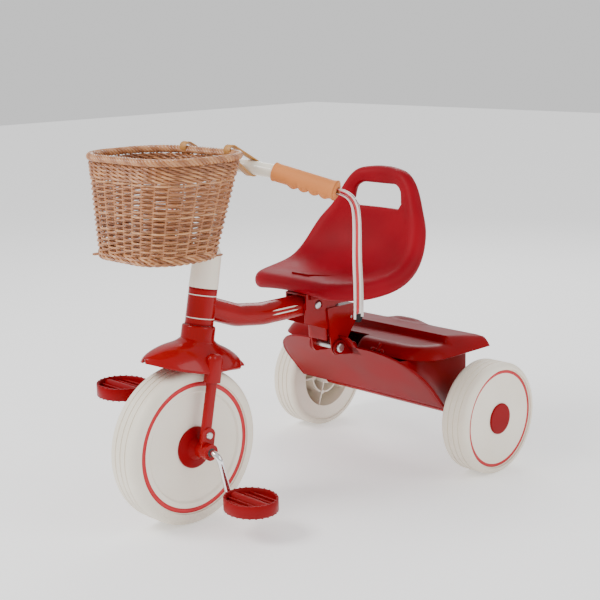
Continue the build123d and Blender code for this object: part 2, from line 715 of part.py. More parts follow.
def seat_bracket():
    """The pressed channel whose two sides clasp the backbone tube."""
    front = HINGE_Y - BRACKET_FRONT
    back = front + BRACKET_LENGTH
    inner = BACKBONE_DIAMETER / 2
    outline = [(front, BRACKET_TOP), (back, BRACKET_TOP), (back, BRACKET_BOTTOM),
               (back - 12, BRACKET_BOTTOM), (front, BRACKET_BOTTOM + 22)]
    sides = both_sides(plate_x(outline, inner, inner + SHEET_WALL))
    web = solid_between((-inner, back - SHEET_WALL - 14, BRACKET_BOTTOM),
                        (inner, back - 14, BACKBONE_HEIGHT - BACKBONE_DIAMETER / 2))
    return Part() + list(sides.solids()) + web - bracket_bolt_hole()


def bracket_bolt():
    y, z = bracket_bolt_place()
    face = BACKBONE_DIAMETER / 2 + SHEET_WALL
    shank = rod_x(BRACKET_BOLT_DIAMETER / 2, -face - 5, face, y, z)
    dome = rod_x(7, face, face + 4, y, z)
    dome = fillet(dome.edges().filter_by(GeomType.CIRCLE).sort_by(Axis.X)[-1], 3)
    nut = Pos(-face, y, z) * Rot(0, -90, 0) * extrude(RegularPolygon(7, 6), 5)
    return shank + dome + nut


def hinge_bracket():
    """The rear channel that carries the fold bolt, the lock lever and the rail's end."""
    inner = BACKBONE_DIAMETER / 2 + SHEET_WALL
    corner = Pos(HINGE_Y, HINGE_HEIGHT) * Circle(14)
    top = BRACKET_TOP - 17
    front = Pos(HINGE_Y - 20, top - 3) * Circle(3)
    back = Pos(HINGE_Y + 42, top - 3) * Circle(3)
    low_back = Pos(HINGE_Y + 42, HINGE_HEIGHT + 44) * Circle(6)
    flat = make_hull([*corner.edges(), *front.edges(), *back.edges(), *low_back.edges()])
    side = extrude(Plane.YZ.offset(inner) * flat, SHEET_WALL)
    roof = solid_between((-inner, HINGE_Y + 2, top - SHEET_WALL), (inner, HINGE_Y + 42, top))
    shape = side + mirrored(side) + roof
    shape -= rod_x(HINGE_BOLT_DIAMETER / 2, -60, 60, HINGE_Y, HINGE_HEIGHT)
    return shape - rod_x(lock_pin_radius(), -60, 60, *lock_place())


def fold_bolt():
    """The bolt that the rear frame folds on, with its head and nut."""
    face = yoke_outer_x() + BODY_GAP
    shank = rod_x(HINGE_BOLT_DIAMETER / 2, -face - 5, face, HINGE_Y, HINGE_HEIGHT)
    head = rod_x(8.5, face, face + 4, HINGE_Y, HINGE_HEIGHT)
    head = fillet(head.edges().filter_by(GeomType.CIRCLE).sort_by(Axis.X)[-1], 3)
    nut = Pos(-face, HINGE_Y, HINGE_HEIGHT) * Rot(0, -90, 0) * extrude(RegularPolygon(8, 6), 5)
    return shank + head + nut


def yoke_inner_x():
    return BACKBONE_DIAMETER / 2 + 2 * SHEET_WALL + BODY_GAP


def yoke_outer_x():
    return yoke_inner_x() + 5.0


def lock_place():
    return HINGE_Y + 36.0, HINGE_HEIGHT + 48.0


def lock_pin_radius():
    return 2.5


def lock_pin():
    face = BACKBONE_DIAMETER / 2 + 2 * SHEET_WALL
    return rod_x(lock_pin_radius(), -face, face, *lock_place())


def lock_lever():
    """The black lever that hooks the rear frame in its riding position."""
    y, z = lock_place()
    half = BACKBONE_DIAMETER / 2 + SHEET_WALL - BODY_GAP
    hub = Pos(y, z) * Circle(8)
    nose_y = y + LOCK_NOSE_REACH
    nose_z = z - LOCK_NOSE_DROP
    nose = Pos(nose_y, nose_z) * Circle(7)
    flat = make_hull([*hub.edges(), *nose.edges()])
    body = extrude(Plane.YZ.offset(-half + 4) * flat, 2 * half - 8)
    body += rod_x(8, -half, half, y, z)
    body += rod_x(8, -half + 2, half - 2, nose_y, nose_z)
    return body - rod_x(lock_pin_radius() + RUNNING_FIT, -60, 60, y, z)


def rail_bottom():
    return BACKBONE_HEIGHT + BACKBONE_DIAMETER / 2


def knob_place():
    return HINGE_Y + 21.0


def seat_rail():
    """The inverted channel on the bracket that the seat slides along."""
    front = HINGE_Y - BRACKET_FRONT
    half = BACKBONE_DIAMETER / 2 + 2 * SHEET_WALL
    low = rail_bottom()
    block = solid_between((-half, front, low - 2 * RAIL_SKIRT),
                          (half, front + RAIL_LENGTH, low + RAIL_THICKNESS))
    hollow = solid_between((-half + SHEET_WALL, front - 1, low - 3 * RAIL_SKIRT),
                           (half - SHEET_WALL, front + RAIL_LENGTH + 1, low))
    slot_half = SEAT_TRAVEL + 4
    slot = solid_between((-3.4, knob_place() - slot_half, low - 1),
                         (3.4, knob_place() + slot_half, low + RAIL_THICKNESS + 1))
    y, z = bracket_bolt_place()
    return block - hollow - slot - rod_x(BRACKET_BOLT_DIAMETER + 1, -60, 60, y, z)


# ---------------------------------------------------------------- seat
# Sections from the front lip to the top of the back.  Each gives the middle of the shell
# (back, up) and its left edge (aside, back, up), all from the point over the fold bolt.
SEAT_SECTIONS = [
    ((-88, 13), (98, -85, 12)),
    ((-56, 12), (121, -52, 10)),
    ((-15, 4), (134, -10, 9)),
    ((30, 0), (138, 35, 14)),
    ((75, 8), (136, 70, 33)),
    ((110, 35), (124, 98, 72)),
    ((130, 82), (104, 117, 101)),
    ((137, 132), (82, 129.5, 144)),
    ((139, 171), (46, 136, 171)),
]
SEAT_EDGE_POWER = 2.6


def seat_grid():
    """Points on the inside of the bucket seat, across each section in turn."""
    columns = 9
    grid = []
    for (mid_back, mid_up), (aside, edge_back, edge_up) in SEAT_SECTIONS:
        line = []
        for j in range(columns):
            u = -1 + 2 * j / (columns - 1)
            lift = abs(u) ** SEAT_EDGE_POWER
            back = mid_back + (edge_back - mid_back) * lift
            up = mid_up + (edge_up - mid_up) * lift
            line.append(Vector(-aside * u, HINGE_Y + back, SEAT_HEIGHT + up))
        grid.append(line)
    return grid


def hand_hole():
    """The slot through the top of the seat back."""
    y = HINGE_Y + 135
    slot = SlotOverall(108, 41)
    middle = Plane(origin=(0, y + 40, SEAT_HEIGHT + 125.5), x_dir=(1, 0, 0), z_dir=(0, -1, 0))
    return extrude(middle * slot, 90)


def seat_skin():
    return skin_solid(seat_grid(), SEAT_THICKNESS)


def seat_screw_places():
    return (HINGE_Y - 56.0, HINGE_Y + 12.0)


def seat_shell(skin):
    shape = skin - hand_hole()
    for y in seat_screw_places():
        shape -= Pos(0, y, SEAT_HEIGHT) * Cylinder(SEAT_SCREW_DIAMETER / 2, 60)
    return max(shape.solids(), key=lambda s: s.volume)


def seat_slider(skin):
    """The saddle under the seat: it rides on the rail and is shaped to the seat's pan."""
    half = BACKBONE_DIAMETER / 2 + 2 * SHEET_WALL + BODY_GAP
    low = rail_bottom() + RAIL_THICKNESS + BODY_GAP
    front = HINGE_Y - 66
    back = HINGE_Y + 34
    saddle = solid_between((-half - SHEET_WALL, front, low - 10), (half + SHEET_WALL, back, low + 4))
    saddle -= solid_between((-half, front - 1, low - 20), (half, back + 1, low))
    pad = solid_between((-20, front + 3, low + 3), (20, back - 8, SEAT_HEIGHT + 40))
    shape = saddle + pad - skin
    shape = min(shape.solids(), key=lambda s: s.center().Z)
    for y in seat_screw_places():
        shape -= Pos(0, y, SEAT_HEIGHT) * Cylinder(SEAT_SCREW_DIAMETER / 2, 60)
    stud = Pos(0, knob_place(), low - 8) * Cylinder(SEAT_SCREW_DIAMETER / 2, 16)
    return shape + Pos(0, 0, 0.2) * stud


def seat_screws():
    """The two screws that hold the seat to its slider; each ends just under the pan's surface."""
    bottom = rail_bottom() + RAIL_THICKNESS + 8
    places = []
    for y, top in zip(seat_screw_places(), (SEAT_HEIGHT + 16, SEAT_HEIGHT + 6)):
        length = top - bottom
        places.append(Pos(0, y, bottom + length / 2) * Cylinder(SEAT_SCREW_DIAMETER / 2, length))
    return Compound(children=[part for shape in places for part in shape.solids()])


def seat_knob():
    """The knurled nut under the rail that clamps the seat."""
    middle = rail_bottom() - BODY_GAP - SEAT_KNOB_HEIGHT / 2
    knob = Cylinder(SEAT_KNOB_DIAMETER / 2, SEAT_KNOB_HEIGHT)
    flutes = 8
    flute = Cylinder(2.4, SEAT_KNOB_HEIGHT)
    for k in range(flutes):
        knob -= Rot(0, 0, 360 / flutes * k) * Pos(SEAT_KNOB_DIAMETER / 2 + 1, 0, 0) * flute
    knob -= Cylinder(SEAT_SCREW_DIAMETER / 2, 2 * SEAT_KNOB_HEIGHT)
    return Pos(0, knob_place(), middle) * knob


# ---------------------------------------------------------------- rear bin
def apron_plane():
    """The plane of the sloping front panel, with its zero at the middle of the foot."""
    top = Vector(0, HINGE_Y + APRON_TOP_BEHIND_HINGE, LID_EDGE_HEIGHT + 11)
    foot = Vector(0, REAR_AXLE_Y - APRON_BOTTOM_AHEAD_OF_AXLE, APRON_BOTTOM_HEIGHT)
    up = (top - foot).normalized()
    return Plane(origin=foot, x_dir=(1, 0, 0), z_dir=Vector(1, 0, 0).cross(up)), (top - foot).length


def apron_outline(half_width, height):
    """The arched front panel, seen square on."""
    shoulder = height * 0.33
    side = Line((half_width, 0), (half_width, shoulder))
    arch = Spline((half_width, shoulder), (half_width * 0.85, height * 0.82),
                  (half_width * 0.34, height), tangents=((0, 1), (-1, 0)))
    top = Line((half_width * 0.34, height), (0, height))
    right = Wire([side.edge(), arch.edge(), top.edge()])
    left = mirror(right, about=Plane.YZ)
    foot = Line((-half_width, 0), (half_width, 0))
    return make_face([*right.edges(), *left.edges(), foot.edge()])


def bin_profile(inset=0.0):
    """Side view of the bin's box, as (y, z)."""
    plane, _ = apron_plane()
    up = plane.y_dir
    rim = LID_EDGE_HEIGHT - BODY_GAP
    share = (rim - plane.origin.Z) / up.Z
    slant = math.hypot(up.Y, up.Z) / up.Z * inset
    back = REAR_AXLE_Y + BIN_BACK_BEHIND_AXLE - inset
    top_y = plane.origin.Y + up.Y * share + slant
    foot_z = plane.origin.Z + inset
    foot_y = plane.origin.Y + up.Y * inset / up.Z + slant
    return [(top_y, rim), (back, rim), (back, foot_z), (foot_y, foot_z)]


def storage_bin():
    """The open bin with its wide arched apron and the two yoke ears of the fold hinge."""
    plane, length = apron_plane()
    narrow = Plane(origin=plane.origin - plane.z_dir * 55, x_dir=plane.x_dir, z_dir=plane.z_dir)
    box = plate_x(bin_profile(), -BIN_HALF_WIDTH, BIN_HALF_WIDTH)
    front = plane * apron_outline(APRON_HALF_WIDTH, length)
    behind = narrow * apron_outline(BIN_HALF_WIDTH, length * 0.8)
    shoulder = loft([front, behind])
    rim = LID_EDGE_HEIGHT - BODY_GAP
    under = solid_between((-300, HINGE_Y + 47, rim), (300, REAR_AXLE_Y + 200, 400))
    half = BIN_HALF_WIDTH - BIN_WALL
    profile = bin_profile(BIN_WALL)
    lifted = [(profile[0][0], rim + 60), (profile[1][0], rim + 60), *profile[1:], profile[0]]
    hollow = plate_x(profile, -half, half)
    hollow += solid_between((-half, profile[0][0], rim - 1), (half, profile[1][0], 400))
    shape = box + shoulder - hollow - under
    shape -= solid_between((-300, 0, 0), (300, REAR_AXLE_Y + 200, APRON_BOTTOM_HEIGHT))
    shape += yoke_ear()
    shape += mirrored(yoke_ear())
    shape -= yoke_way()
    for x in (58.0, 78.0):
        knuckle = bin_knuckle(x)
        shape += knuckle
        shape += mirrored(knuckle)
    shape -= rod_x(LID_PIN_DIAMETER / 2, -200, 200, *lid_hinge())
    shape -= rod_x(HINGE_BOLT_DIAMETER / 2 + RUNNING_FIT, -60, 60, HINGE_Y, HINGE_HEIGHT)
    return max(shape.solids(), key=lambda s: s.volume)


def yoke_way():
    """The space between the yoke ears, where the hinge bracket and lever sit."""
    half = yoke_inner_x()
    return solid_between((-half, HINGE_Y - 40, HINGE_HEIGHT - 20), (half, HINGE_Y + 46, 400))


def yoke_ear():
    """One ear of the yoke, with the flange that carries on from the apron."""
    plane, length = apron_plane()
    eye = Pos(HINGE_Y, HINGE_HEIGHT) * Circle(13)
    root = Pos(HINGE_Y + 47, HINGE_HEIGHT - 40) * Circle(9)
    flat = make_hull([*eye.edges(), *root.edges()])
    ear = extrude(Plane.YZ.offset(yoke_inner_x()) * flat, yoke_outer_x() - yoke_inner_x())
    flange = Pos(yoke_inner_x() + 13, length + 4) * Rectangle(26, 50)
    return ear + extrude(plane * flange, -SHEET_WALL)


def lid_hinge():
    return HINGE_Y + LID_FRONT_BEHIND_HINGE + 5.0, LID_EDGE_HEIGHT + 4.0


def bin_knuckle(x):
    """One knuckle of the lid hinge, on an arm from the bin's front wall."""
    y, z = lid_hinge()
    profile = bin_profile()
    root = profile[0][0] + 1
    outline = [(root, z - 12), (root, z - 5), (y, z + 3), (y + 3, z), (y, z - 5), (y - 4, z - 12)]
    return plate_x(outline, x, x + 9) + rod_x(5, x, x + 9, y, z)


def lid_outline(front, back, half_width, corner, height):
    face = Pos(0, (front + back) / 2, height) * Rectangle(2 * half_width, back - front)
    front_corners = face.vertices().group_by(Axis.Y)[0]
    return fillet(front_corners, corner)


def storage_lid():
    """The raised lid, with skirts, a rear ridge, a lever notch and a finger tab."""
    front = HINGE_Y + LID_FRONT_BEHIND_HINGE
    back = REAR_AXLE_Y + LID_BACK_BEHIND_AXLE
    low = LID_EDGE_HEIGHT
    top = low + LID_RISE

    def dome(inset):
        return loft([
            lid_outline(front + inset, back - inset, LID_HALF_WIDTH - inset,
                        LID_CORNER_RADIUS - inset, low),
            lid_outline(front + 30 + inset, back - 8 - inset, LID_HALF_WIDTH - 26 - inset,
                        LID_CORNER_RADIUS - 20 - inset, top - inset),
        ])

    ridge_front = front + 78
    ridge = loft([
        Pos(0, (ridge_front + back - 8) / 2, top - 4) * Rectangle(
            2 * LID_HALF_WIDTH - 54, back - 8 - ridge_front),
        Pos(0, (ridge_front + 6 + back - 10) / 2, top + 4) * Rectangle(
            2 * LID_HALF_WIDTH - 74, back - 10 - ridge_front - 6),
    ])
    shape = dome(0) + ridge - dome(BIN_WALL)
    tab = extrude(Pos(0, back - 8, top - 8) * Ellipse(43, 40), 4)
    tab -= solid_between((-60, 0, 0), (60, back - 9, 400))
    shape += tab
    shape -= solid_between((-LID_NOTCH_HALF_WIDTH, 0, 0), (LID_NOTCH_HALF_WIDTH, front + LID_NOTCH_DEPTH, 400))
    y, z = lid_hinge()
    for side in (1, -1):
        way = solid_between((57.6, 0, low - 2), (87.4, y + 7, z + 7))
        shape -= way if side > 0 else mirrored(way)
    lug = rod_x(4.6, 67.4, 77.6, y, z)
    lug += solid_between((67.4, y + 2, z - 2), (77.6, y + 9, z + 8))
    shape += lug
    shape += mirrored(lug)
    shape -= rod_x(LID_PIN_DIAMETER / 2 + RUNNING_FIT, -200, 200, y, z)
    return max(shape.solids(), key=lambda s: s.volume)


def lid_pins():
    return both_sides(rod_x(LID_PIN_DIAMETER / 2, 57, 88, *lid_hinge()))


def housing_end():
    return REAR_TRACK / 2 - REAR_WHEEL_WIDTH / 2 - 7.0


def axle_housing():
    """The tube under the bin that holds the rear axle, with a rib up to the bin's floor."""
    end = housing_end()
    tube = rod_x(AXLE_HOUSING_DIAMETER / 2, -end, end, REAR_AXLE_Y, REAR_R)
    top_half = BIN_HALF_WIDTH - 20
    rib = solid_between((-top_half, REAR_AXLE_Y - 9, REAR_R),
                        (top_half, REAR_AXLE_Y + 9, APRON_BOTTOM_HEIGHT))
    return tube + rib - rod_x(AXLE_DIAMETER / 2, -300, 300, REAR_AXLE_Y, REAR_R)


def wheel_inner_face():
    return REAR_TRACK / 2 - REAR_WHEEL_WIDTH / 2 + 2.0


def axle_spacers():
    spacer = rod_x(9, housing_end(), wheel_inner_face() - BODY_GAP, REAR_AXLE_Y, REAR_R)
    return both_sides(spacer - rod_x(AXLE_DIAMETER / 2, 0, 400, REAR_AXLE_Y, REAR_R))


def wheel_face_x():
    return REAR_TRACK / 2 + REAR_WHEEL_WIDTH / 2 - REAR_SIDE_SET_IN


def rear_axle():
    end = wheel_face_x() - 0.5
    return rod_x(AXLE_DIAMETER / 2, -end, end, REAR_AXLE_Y, REAR_R)


def axle_nuts():
    """The push-on cap nuts that keep the rear wheels on, sunk in the wheels' faces."""
    start = wheel_face_x() - 5.0 + BODY_GAP
    nut = rod_x(9.5, start, start + 3, REAR_AXLE_Y, REAR_R)
    return both_sides(nut - rod_x(AXLE_DIAMETER / 2, 0, 400, REAR_AXLE_Y, REAR_R))


# ---------------------------------------------------------------- rear wheels
def at_rear_wheel(shape, side):
    placed = Pos(REAR_TRACK / 2, REAR_AXLE_Y, REAR_R) * shape
    return placed if side == "left" else mirrored(placed)


def rear_tyre(side):
    band = Rectangle(REAR_WHEEL_WIDTH, REAR_TYRE_DEPTH)
    band = fillet(band.vertices().filter_by(lambda v: v.Y > 0), REAR_TYRE_DEPTH * 0.8)
    face = Plane.XZ * Pos(0, REAR_R - REAR_TYRE_DEPTH / 2) * band
    tyre = revolve(face, Axis.X, 360)
    groove = ring_x(REAR_R + 1, REAR_R - TREAD_GROOVE_DEPTH, TREAD_GROOVE_WIDTH)
    for place in (-0.2, 0, 0.2):
        tyre -= Pos(place * REAR_WHEEL_WIDTH, 0, 0) * groove
    return at_rear_wheel(tyre, side)


def rear_wheel(side):
    """A moulded wheel: closed outside, open and ribbed inside."""
    rim = REAR_R - REAR_TYRE_DEPTH
    face = REAR_WHEEL_WIDTH / 2 - REAR_SIDE_SET_IN
    back = -REAR_WHEEL_WIDTH / 2 + 2.0
    wall = MOULDED_WALL
    bore = AXLE_DIAMETER / 2 + RUNNING_FIT
    pocket = 12.0
    outline = [
        (back, bore), (face - 5, bore), (face - 5, pocket), (face, pocket), (face, rim), (back, rim),
        (back, REAR_RECESS_RADIUS), (face - wall, REAR_RECESS_RADIUS),
        (face - wall, REAR_HUB_RADIUS), (back, REAR_HUB_RADIUS),
    ]
    wheel = turned_about_x(outline)
    wheel -= ring_x(rim - wall, REAR_RECESS_RADIUS + wall, 2 * (face - wall) - 4)
    depth = face - wall - back - 6
    for k in range(REAR_SPOKES):
        angle = 360 * k / REAR_SPOKES + 18
        rib = Pos((back + 6 + face - wall) / 2, 0, (REAR_RECESS_RADIUS + REAR_HUB_RADIUS) / 2) * Box(
            depth, 3, REAR_RECESS_RADIUS - REAR_HUB_RADIUS + 1)
        boss = Pos((back + 4 + face - wall) / 2, 0, 34) * Rot(0, 90, 0) * Cylinder(4.2, depth + 2)
        wheel += Rot(angle, 0, 0) * (rib + boss)
    middle = (back + 6 + face - wall) / 2
    wheel += Pos(middle, 0, 0) * ring_x(35.5, 32.5, depth)
    return at_rear_wheel(wheel, side)


def hub_cap(side):
    """The red disc over the axle's end."""
    start = REAR_WHEEL_WIDTH / 2 - REAR_SIDE_SET_IN
    cap = rod_x(HUB_CAP_RADIUS, start, start + HUB_CAP_THICKNESS)
    cap = fillet(cap.edges().filter_by(GeomType.CIRCLE).sort_by(Axis.X)[-1], 2)
    return at_rear_wheel(cap, side)


# ---------------------------------------------------------------- all nodes
def build():
    nodes["front_tyre"] = front_tyre()
    nodes["front_wheel_left"] = front_wheel_half()
    nodes["front_wheel_right"] = mirrored(nodes["front_wheel_left"])
    nodes["hub_flanges"] = hub_flanges()
    nodes["crank_axle"] = crank_axle()
    nodes["pedal_left"] = at_front_axle(Pos(PEDAL_CENTRE_X, CRANK_DOWN.Y, CRANK_DOWN.Z) * pedal())
    far_pedal = mirrored(Pos(PEDAL_CENTRE_X, -CRANK_DOWN.Y, -CRANK_DOWN.Z) * pedal())
    nodes["pedal_right"] = at_front_axle(far_pedal)
    nodes["steerer_tube"] = steerer_tube()
    nodes["fork_crown"] = fork_crown()
    nodes["fork_legs"] = fork_legs()
    nodes["fender"] = fender()
    nodes["bearing_brackets"] = bearing_brackets()
    nodes["bearing_bushes"] = bearing_bushes()
    nodes["dropout_bolts"] = dropout_bolts()
    nodes["head_tube"] = head_tube()
    nodes["head_bushes"] = head_bushes()
    nodes["stem_cover"] = stem_cover()
    nodes["handlebar_post"] = handlebar_post()
    nodes["handlebar"] = handlebar()
    nodes["grip_left"] = steered(left_grip())
    nodes["grip_right"] = mirrored(nodes["grip_left"])
    nodes["streamer_plugs"] = streamer_plugs()
    for side in SIDES:
        for index in range(len(STREAMER_SPREAD)):
            nodes[f"streamer_{side}_{index + 1}"] = streamer(side, index)
    nodes["basket"] = basket()
    nodes["basket_straps"] = both_sides(left_strap())
    nodes["strap_buckles"] = strap_buckles()
    nodes["backbone_tube"] = backbone_tube()
    nodes["seat_bracket"] = seat_bracket()
    nodes["bracket_bolt"] = bracket_bolt()
    nodes["hinge_bracket"] = hinge_bracket()
    nodes["fold_bolt"] = fold_bolt()
    nodes["lock_pin"] = lock_pin()
    nodes["lock_lever"] = lock_lever()
    nodes["seat_rail"] = seat_rail()
    skin = seat_skin()
    nodes["seat_shell"] = seat_shell(skin)
    nodes["seat_slider"] = seat_slider(skin)
    nodes["seat_screws"] = seat_screws()
    nodes["seat_knob"] = seat_knob()
    nodes["storage_bin"] = storage_bin()
    nodes["storage_lid"] = storage_lid()
    nodes["lid_pins"] = lid_pins()
    nodes["axle_housing"] = axle_housing()
    nodes["axle_spacers"] = axle_spacers()
    nodes["rear_axle"] = rear_axle()
    nodes["axle_nuts"] = axle_nuts()
    for side in SIDES:
        nodes[f"rear_tyre_{side}"] = rear_tyre(side)
        nodes[f"rear_wheel_{side}"] = rear_wheel(side)
        nodes[f"hub_cap_{side}"] = hub_cap(side)


build()
os.makedirs("parts", exist_ok=True)
for name, shape in nodes.items():
    export_step(shape, f"parts/{name}.step")
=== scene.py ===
# %% [markdown]
# # A child's tricycle, finished in Blender
# The frame holds the working model: every tube, wheel, pin and hinge at its real size. This lesson
# dresses it. Smooth shells, willow weave, leather and ribbon are built as meshes around the frame,
# and each working part gets a paint, plastic or metal of its own.

# %% Load the frame
import json
import math
import random

import bmesh
import bpy
from mathutils import Matrix, Vector
from mathutils.geometry import convex_hull_2d


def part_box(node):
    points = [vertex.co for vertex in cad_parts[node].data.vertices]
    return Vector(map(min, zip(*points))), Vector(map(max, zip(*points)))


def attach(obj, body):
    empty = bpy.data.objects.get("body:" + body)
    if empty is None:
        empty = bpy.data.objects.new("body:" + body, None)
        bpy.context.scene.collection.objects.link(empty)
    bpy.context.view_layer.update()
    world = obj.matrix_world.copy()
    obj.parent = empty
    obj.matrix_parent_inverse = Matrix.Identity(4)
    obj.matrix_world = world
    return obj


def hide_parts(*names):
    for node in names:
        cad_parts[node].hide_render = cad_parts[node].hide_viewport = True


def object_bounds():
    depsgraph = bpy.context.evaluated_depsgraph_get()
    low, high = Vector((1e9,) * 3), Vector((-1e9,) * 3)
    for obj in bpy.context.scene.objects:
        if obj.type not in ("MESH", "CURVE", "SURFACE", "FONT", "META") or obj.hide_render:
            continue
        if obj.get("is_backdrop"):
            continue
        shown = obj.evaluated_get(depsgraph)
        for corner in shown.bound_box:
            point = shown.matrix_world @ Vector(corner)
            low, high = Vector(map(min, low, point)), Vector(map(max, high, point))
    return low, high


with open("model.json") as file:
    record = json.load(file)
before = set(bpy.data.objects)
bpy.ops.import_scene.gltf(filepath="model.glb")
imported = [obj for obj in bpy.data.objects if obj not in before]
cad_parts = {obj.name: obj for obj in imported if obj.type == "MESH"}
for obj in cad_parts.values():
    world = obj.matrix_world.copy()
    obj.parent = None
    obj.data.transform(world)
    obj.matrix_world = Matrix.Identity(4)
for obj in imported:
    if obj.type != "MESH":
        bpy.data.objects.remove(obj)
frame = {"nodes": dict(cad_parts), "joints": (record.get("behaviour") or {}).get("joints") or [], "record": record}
cad_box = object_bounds()
nodes = frame["nodes"]
joints = {joint["name"]: joint for joint in frame["joints"]}
random.seed(12)

# %% [markdown]
# The steering axis leans back, so everything on the fork is easiest to shape in a frame of its own:
# x to the rider's left, y towards the rider, z up the steering axis, zero at the front axle. The
# steering joint and the front tyre's box give that frame, with no number typed twice.

# %% Places that the pieces share
MM = 0.001


SIDES = ((1, "left"), (-1, "right"))


def clamp(value, low=0.0, high=1.0):
    return max(low, min(high, value))


def middle_of(node):
    low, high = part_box(node)
    return (low + high) / 2


FRONT_AXLE = middle_of("front_tyre")
REAR_AXLE = middle_of("rear_axle")
STEER_AXIS = Vector(joints["steering"]["axis"])
HINGE = Vector(joints["fold"]["pos_m"])
STEER_BACK = STEER_AXIS.cross(Vector((1, 0, 0)))
STEER = Matrix((
    (1, STEER_BACK.x, STEER_AXIS.x, FRONT_AXLE.x),
    (0, STEER_BACK.y, STEER_AXIS.y, FRONT_AXLE.y),
    (0, STEER_BACK.z, STEER_AXIS.z, FRONT_AXLE.z),
    (0, 0, 0, 1),
))
print("front axle", FRONT_AXLE, "hinge", HINGE)


def steered(x, back, up):
    """A point on the fork, from millimetres in the steering frame."""
    return STEER @ Vector((x * MM, back * MM, up * MM))


# %% [markdown]
# A few mesh helpers do the repeated work: a grid of points becomes a sheet of quads, a closed outline
# turns into a lathed ring, and a list of points becomes a rod whose section never twists.

# %% Mesh helpers
def new_piece(name, points, faces, body):
    """A smooth mesh object that rides one body of the frame."""
    mesh = bpy.data.meshes.new(name)
    mesh.from_pydata([tuple(p) for p in points], [], faces)
    mesh.validate()
    mesh.update()
    mesh.shade_smooth()
    piece = bpy.data.objects.new(name, mesh)
    bpy.context.scene.collection.objects.link(piece)
    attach(piece, body)
    return piece


def grid_faces(rows, columns, close_rows=False, close_columns=False):
    """Quads between neighbouring points of a grid that is listed row by row."""
    faces = []
    for i in range(rows if close_rows else rows - 1):
        for j in range(columns if close_columns else columns - 1):
            here = i * columns
            above = (i + 1) % rows * columns
            beside = (j + 1) % columns
            faces.append((here + j, here + beside, above + beside, above + j))
    return faces


def outward(piece):
    """Make every face look outwards."""
    bm = bmesh.new()
    bm.from_mesh(piece.data)
    bmesh.ops.recalc_face_normals(bm, faces=bm.faces)
    bm.to_mesh(piece.data)
    bm.free()
    piece.data.shade_smooth()
    return piece


def apply_modifiers(piece):
    """Keep the mesh that the modifiers make, and drop the modifiers."""
    graph = bpy.context.evaluated_depsgraph_get()
    mesh = bpy.data.meshes.new_from_object(piece.evaluated_get(graph))
    piece.modifiers.clear()
    piece.data = mesh
    mesh.shade_smooth()
    return piece


def thicken(piece, thickness, levels=0, offset=-1.0, bevel=0.0):
    """Give a sheet its wall, round its edges and smooth it."""
    shell = piece.modifiers.new("wall", "SOLIDIFY")
    shell.thickness = thickness
    shell.offset = offset
    if bevel:
        edge = piece.modifiers.new("edge", "BEVEL")
        edge.width = bevel
        edge.segments = 2
        edge.limit_method = "ANGLE"
        edge.angle_limit = math.radians(50)
    if levels:
        smooth = piece.modifiers.new("smooth", "SUBSURF")
        smooth.levels = levels
        smooth.render_levels = levels
    return apply_modifiers(piece)


def lathe_x(name, outline, centre, body, steps=120):
    """Turn a closed (x, radius) outline, in millimetres, about a wheel's axle."""
    points = []
    for i in range(steps):
        turn = 2 * math.pi * i / steps
        for x, radius in outline:
            offset = Vector((x, radius * math.cos(turn), radius * math.sin(turn))) * MM
            points.append(centre + offset)
    faces = grid_faces(steps, len(outline), close_rows=True, close_columns=True)
    return outward(new_piece(name, points, faces, body))


def rod_mesh(path, radius, sides, closed):
    """Points and faces of a rod along a path."""
    count = len(path)
    points = []
    side = None
    for i, place in enumerate(path):
        ahead = path[(i + 1) % count] if closed or i < count - 1 else place
        behind = path[i - 1] if closed or i > 0 else place
        along = (ahead - behind).normalized()
        if side is None:
            side = along.orthogonal().normalized()
        side = (side - along * side.dot(along)).normalized()
        up = along.cross(side)
        for k in range(sides):
            turn = 2 * math.pi * k / sides
            points.append(place + side * (radius * math.cos(turn)) + up * (radius * math.sin(turn)))
    faces = grid_faces(count, sides, close_rows=closed, close_columns=True)
    if not closed:
        faces.append(tuple(range(sides))[::-1])
        last = (count - 1) * sides
        faces.append(tuple(range(last, last + sides)))
    return points, faces


# %% [markdown]
# Paint, plastic and leather share two effects. *Fine grain* turns noise into a height and a tint;
# *floor tint* mixes in a mottled brownish grey that grows stronger towards the floor. Each effect is a node
# group with named sockets, built once, so every finish can use it at its own scale.

# %% Node groups
def group_with(name, inputs, outputs):
    group = bpy.data.node_groups.new(name, "ShaderNodeTree")
    for socket, value in inputs.items():
        made = group.interface.new_socket(socket, in_out="INPUT", socket_type="NodeSocketFloat")
        made.default_value = value
    for socket in outputs:
        group.interface.new_socket(socket, in_out="OUTPUT", socket_type="NodeSocketFloat")
    enter = group.nodes.new("NodeGroupInput")
    leave = group.nodes.new("NodeGroupOutput")
    return group, enter, leave


def add_node(tree, kind, **values):
    """A shader node with some of its sockets set; underscores stand for spaces."""
    node = tree.nodes.new(kind)
    for socket, value in values.items():
        node.inputs[socket.replace("_", " ")].default_value = value
    return node


def add_group(tree, group, **values):
    """One of the shared effects, with some of its sockets set."""
    node = tree.nodes.new("ShaderNodeGroup")
    node.node_tree = group
    for socket, value in values.items():
        node.inputs[socket.replace("_", " ")].default_value = value
    return node


def math_node(tree, kind, first, second=None):
    node = tree.nodes.new("ShaderNodeMath")
    node.operation = kind
    for socket, value in zip(node.inputs, (first, second)):
        if value is None:
            continue
        if isinstance(value, (int, float)):
            socket.default_value = value
        else:
            tree.links.new(value, socket)
    return node.outputs[0]


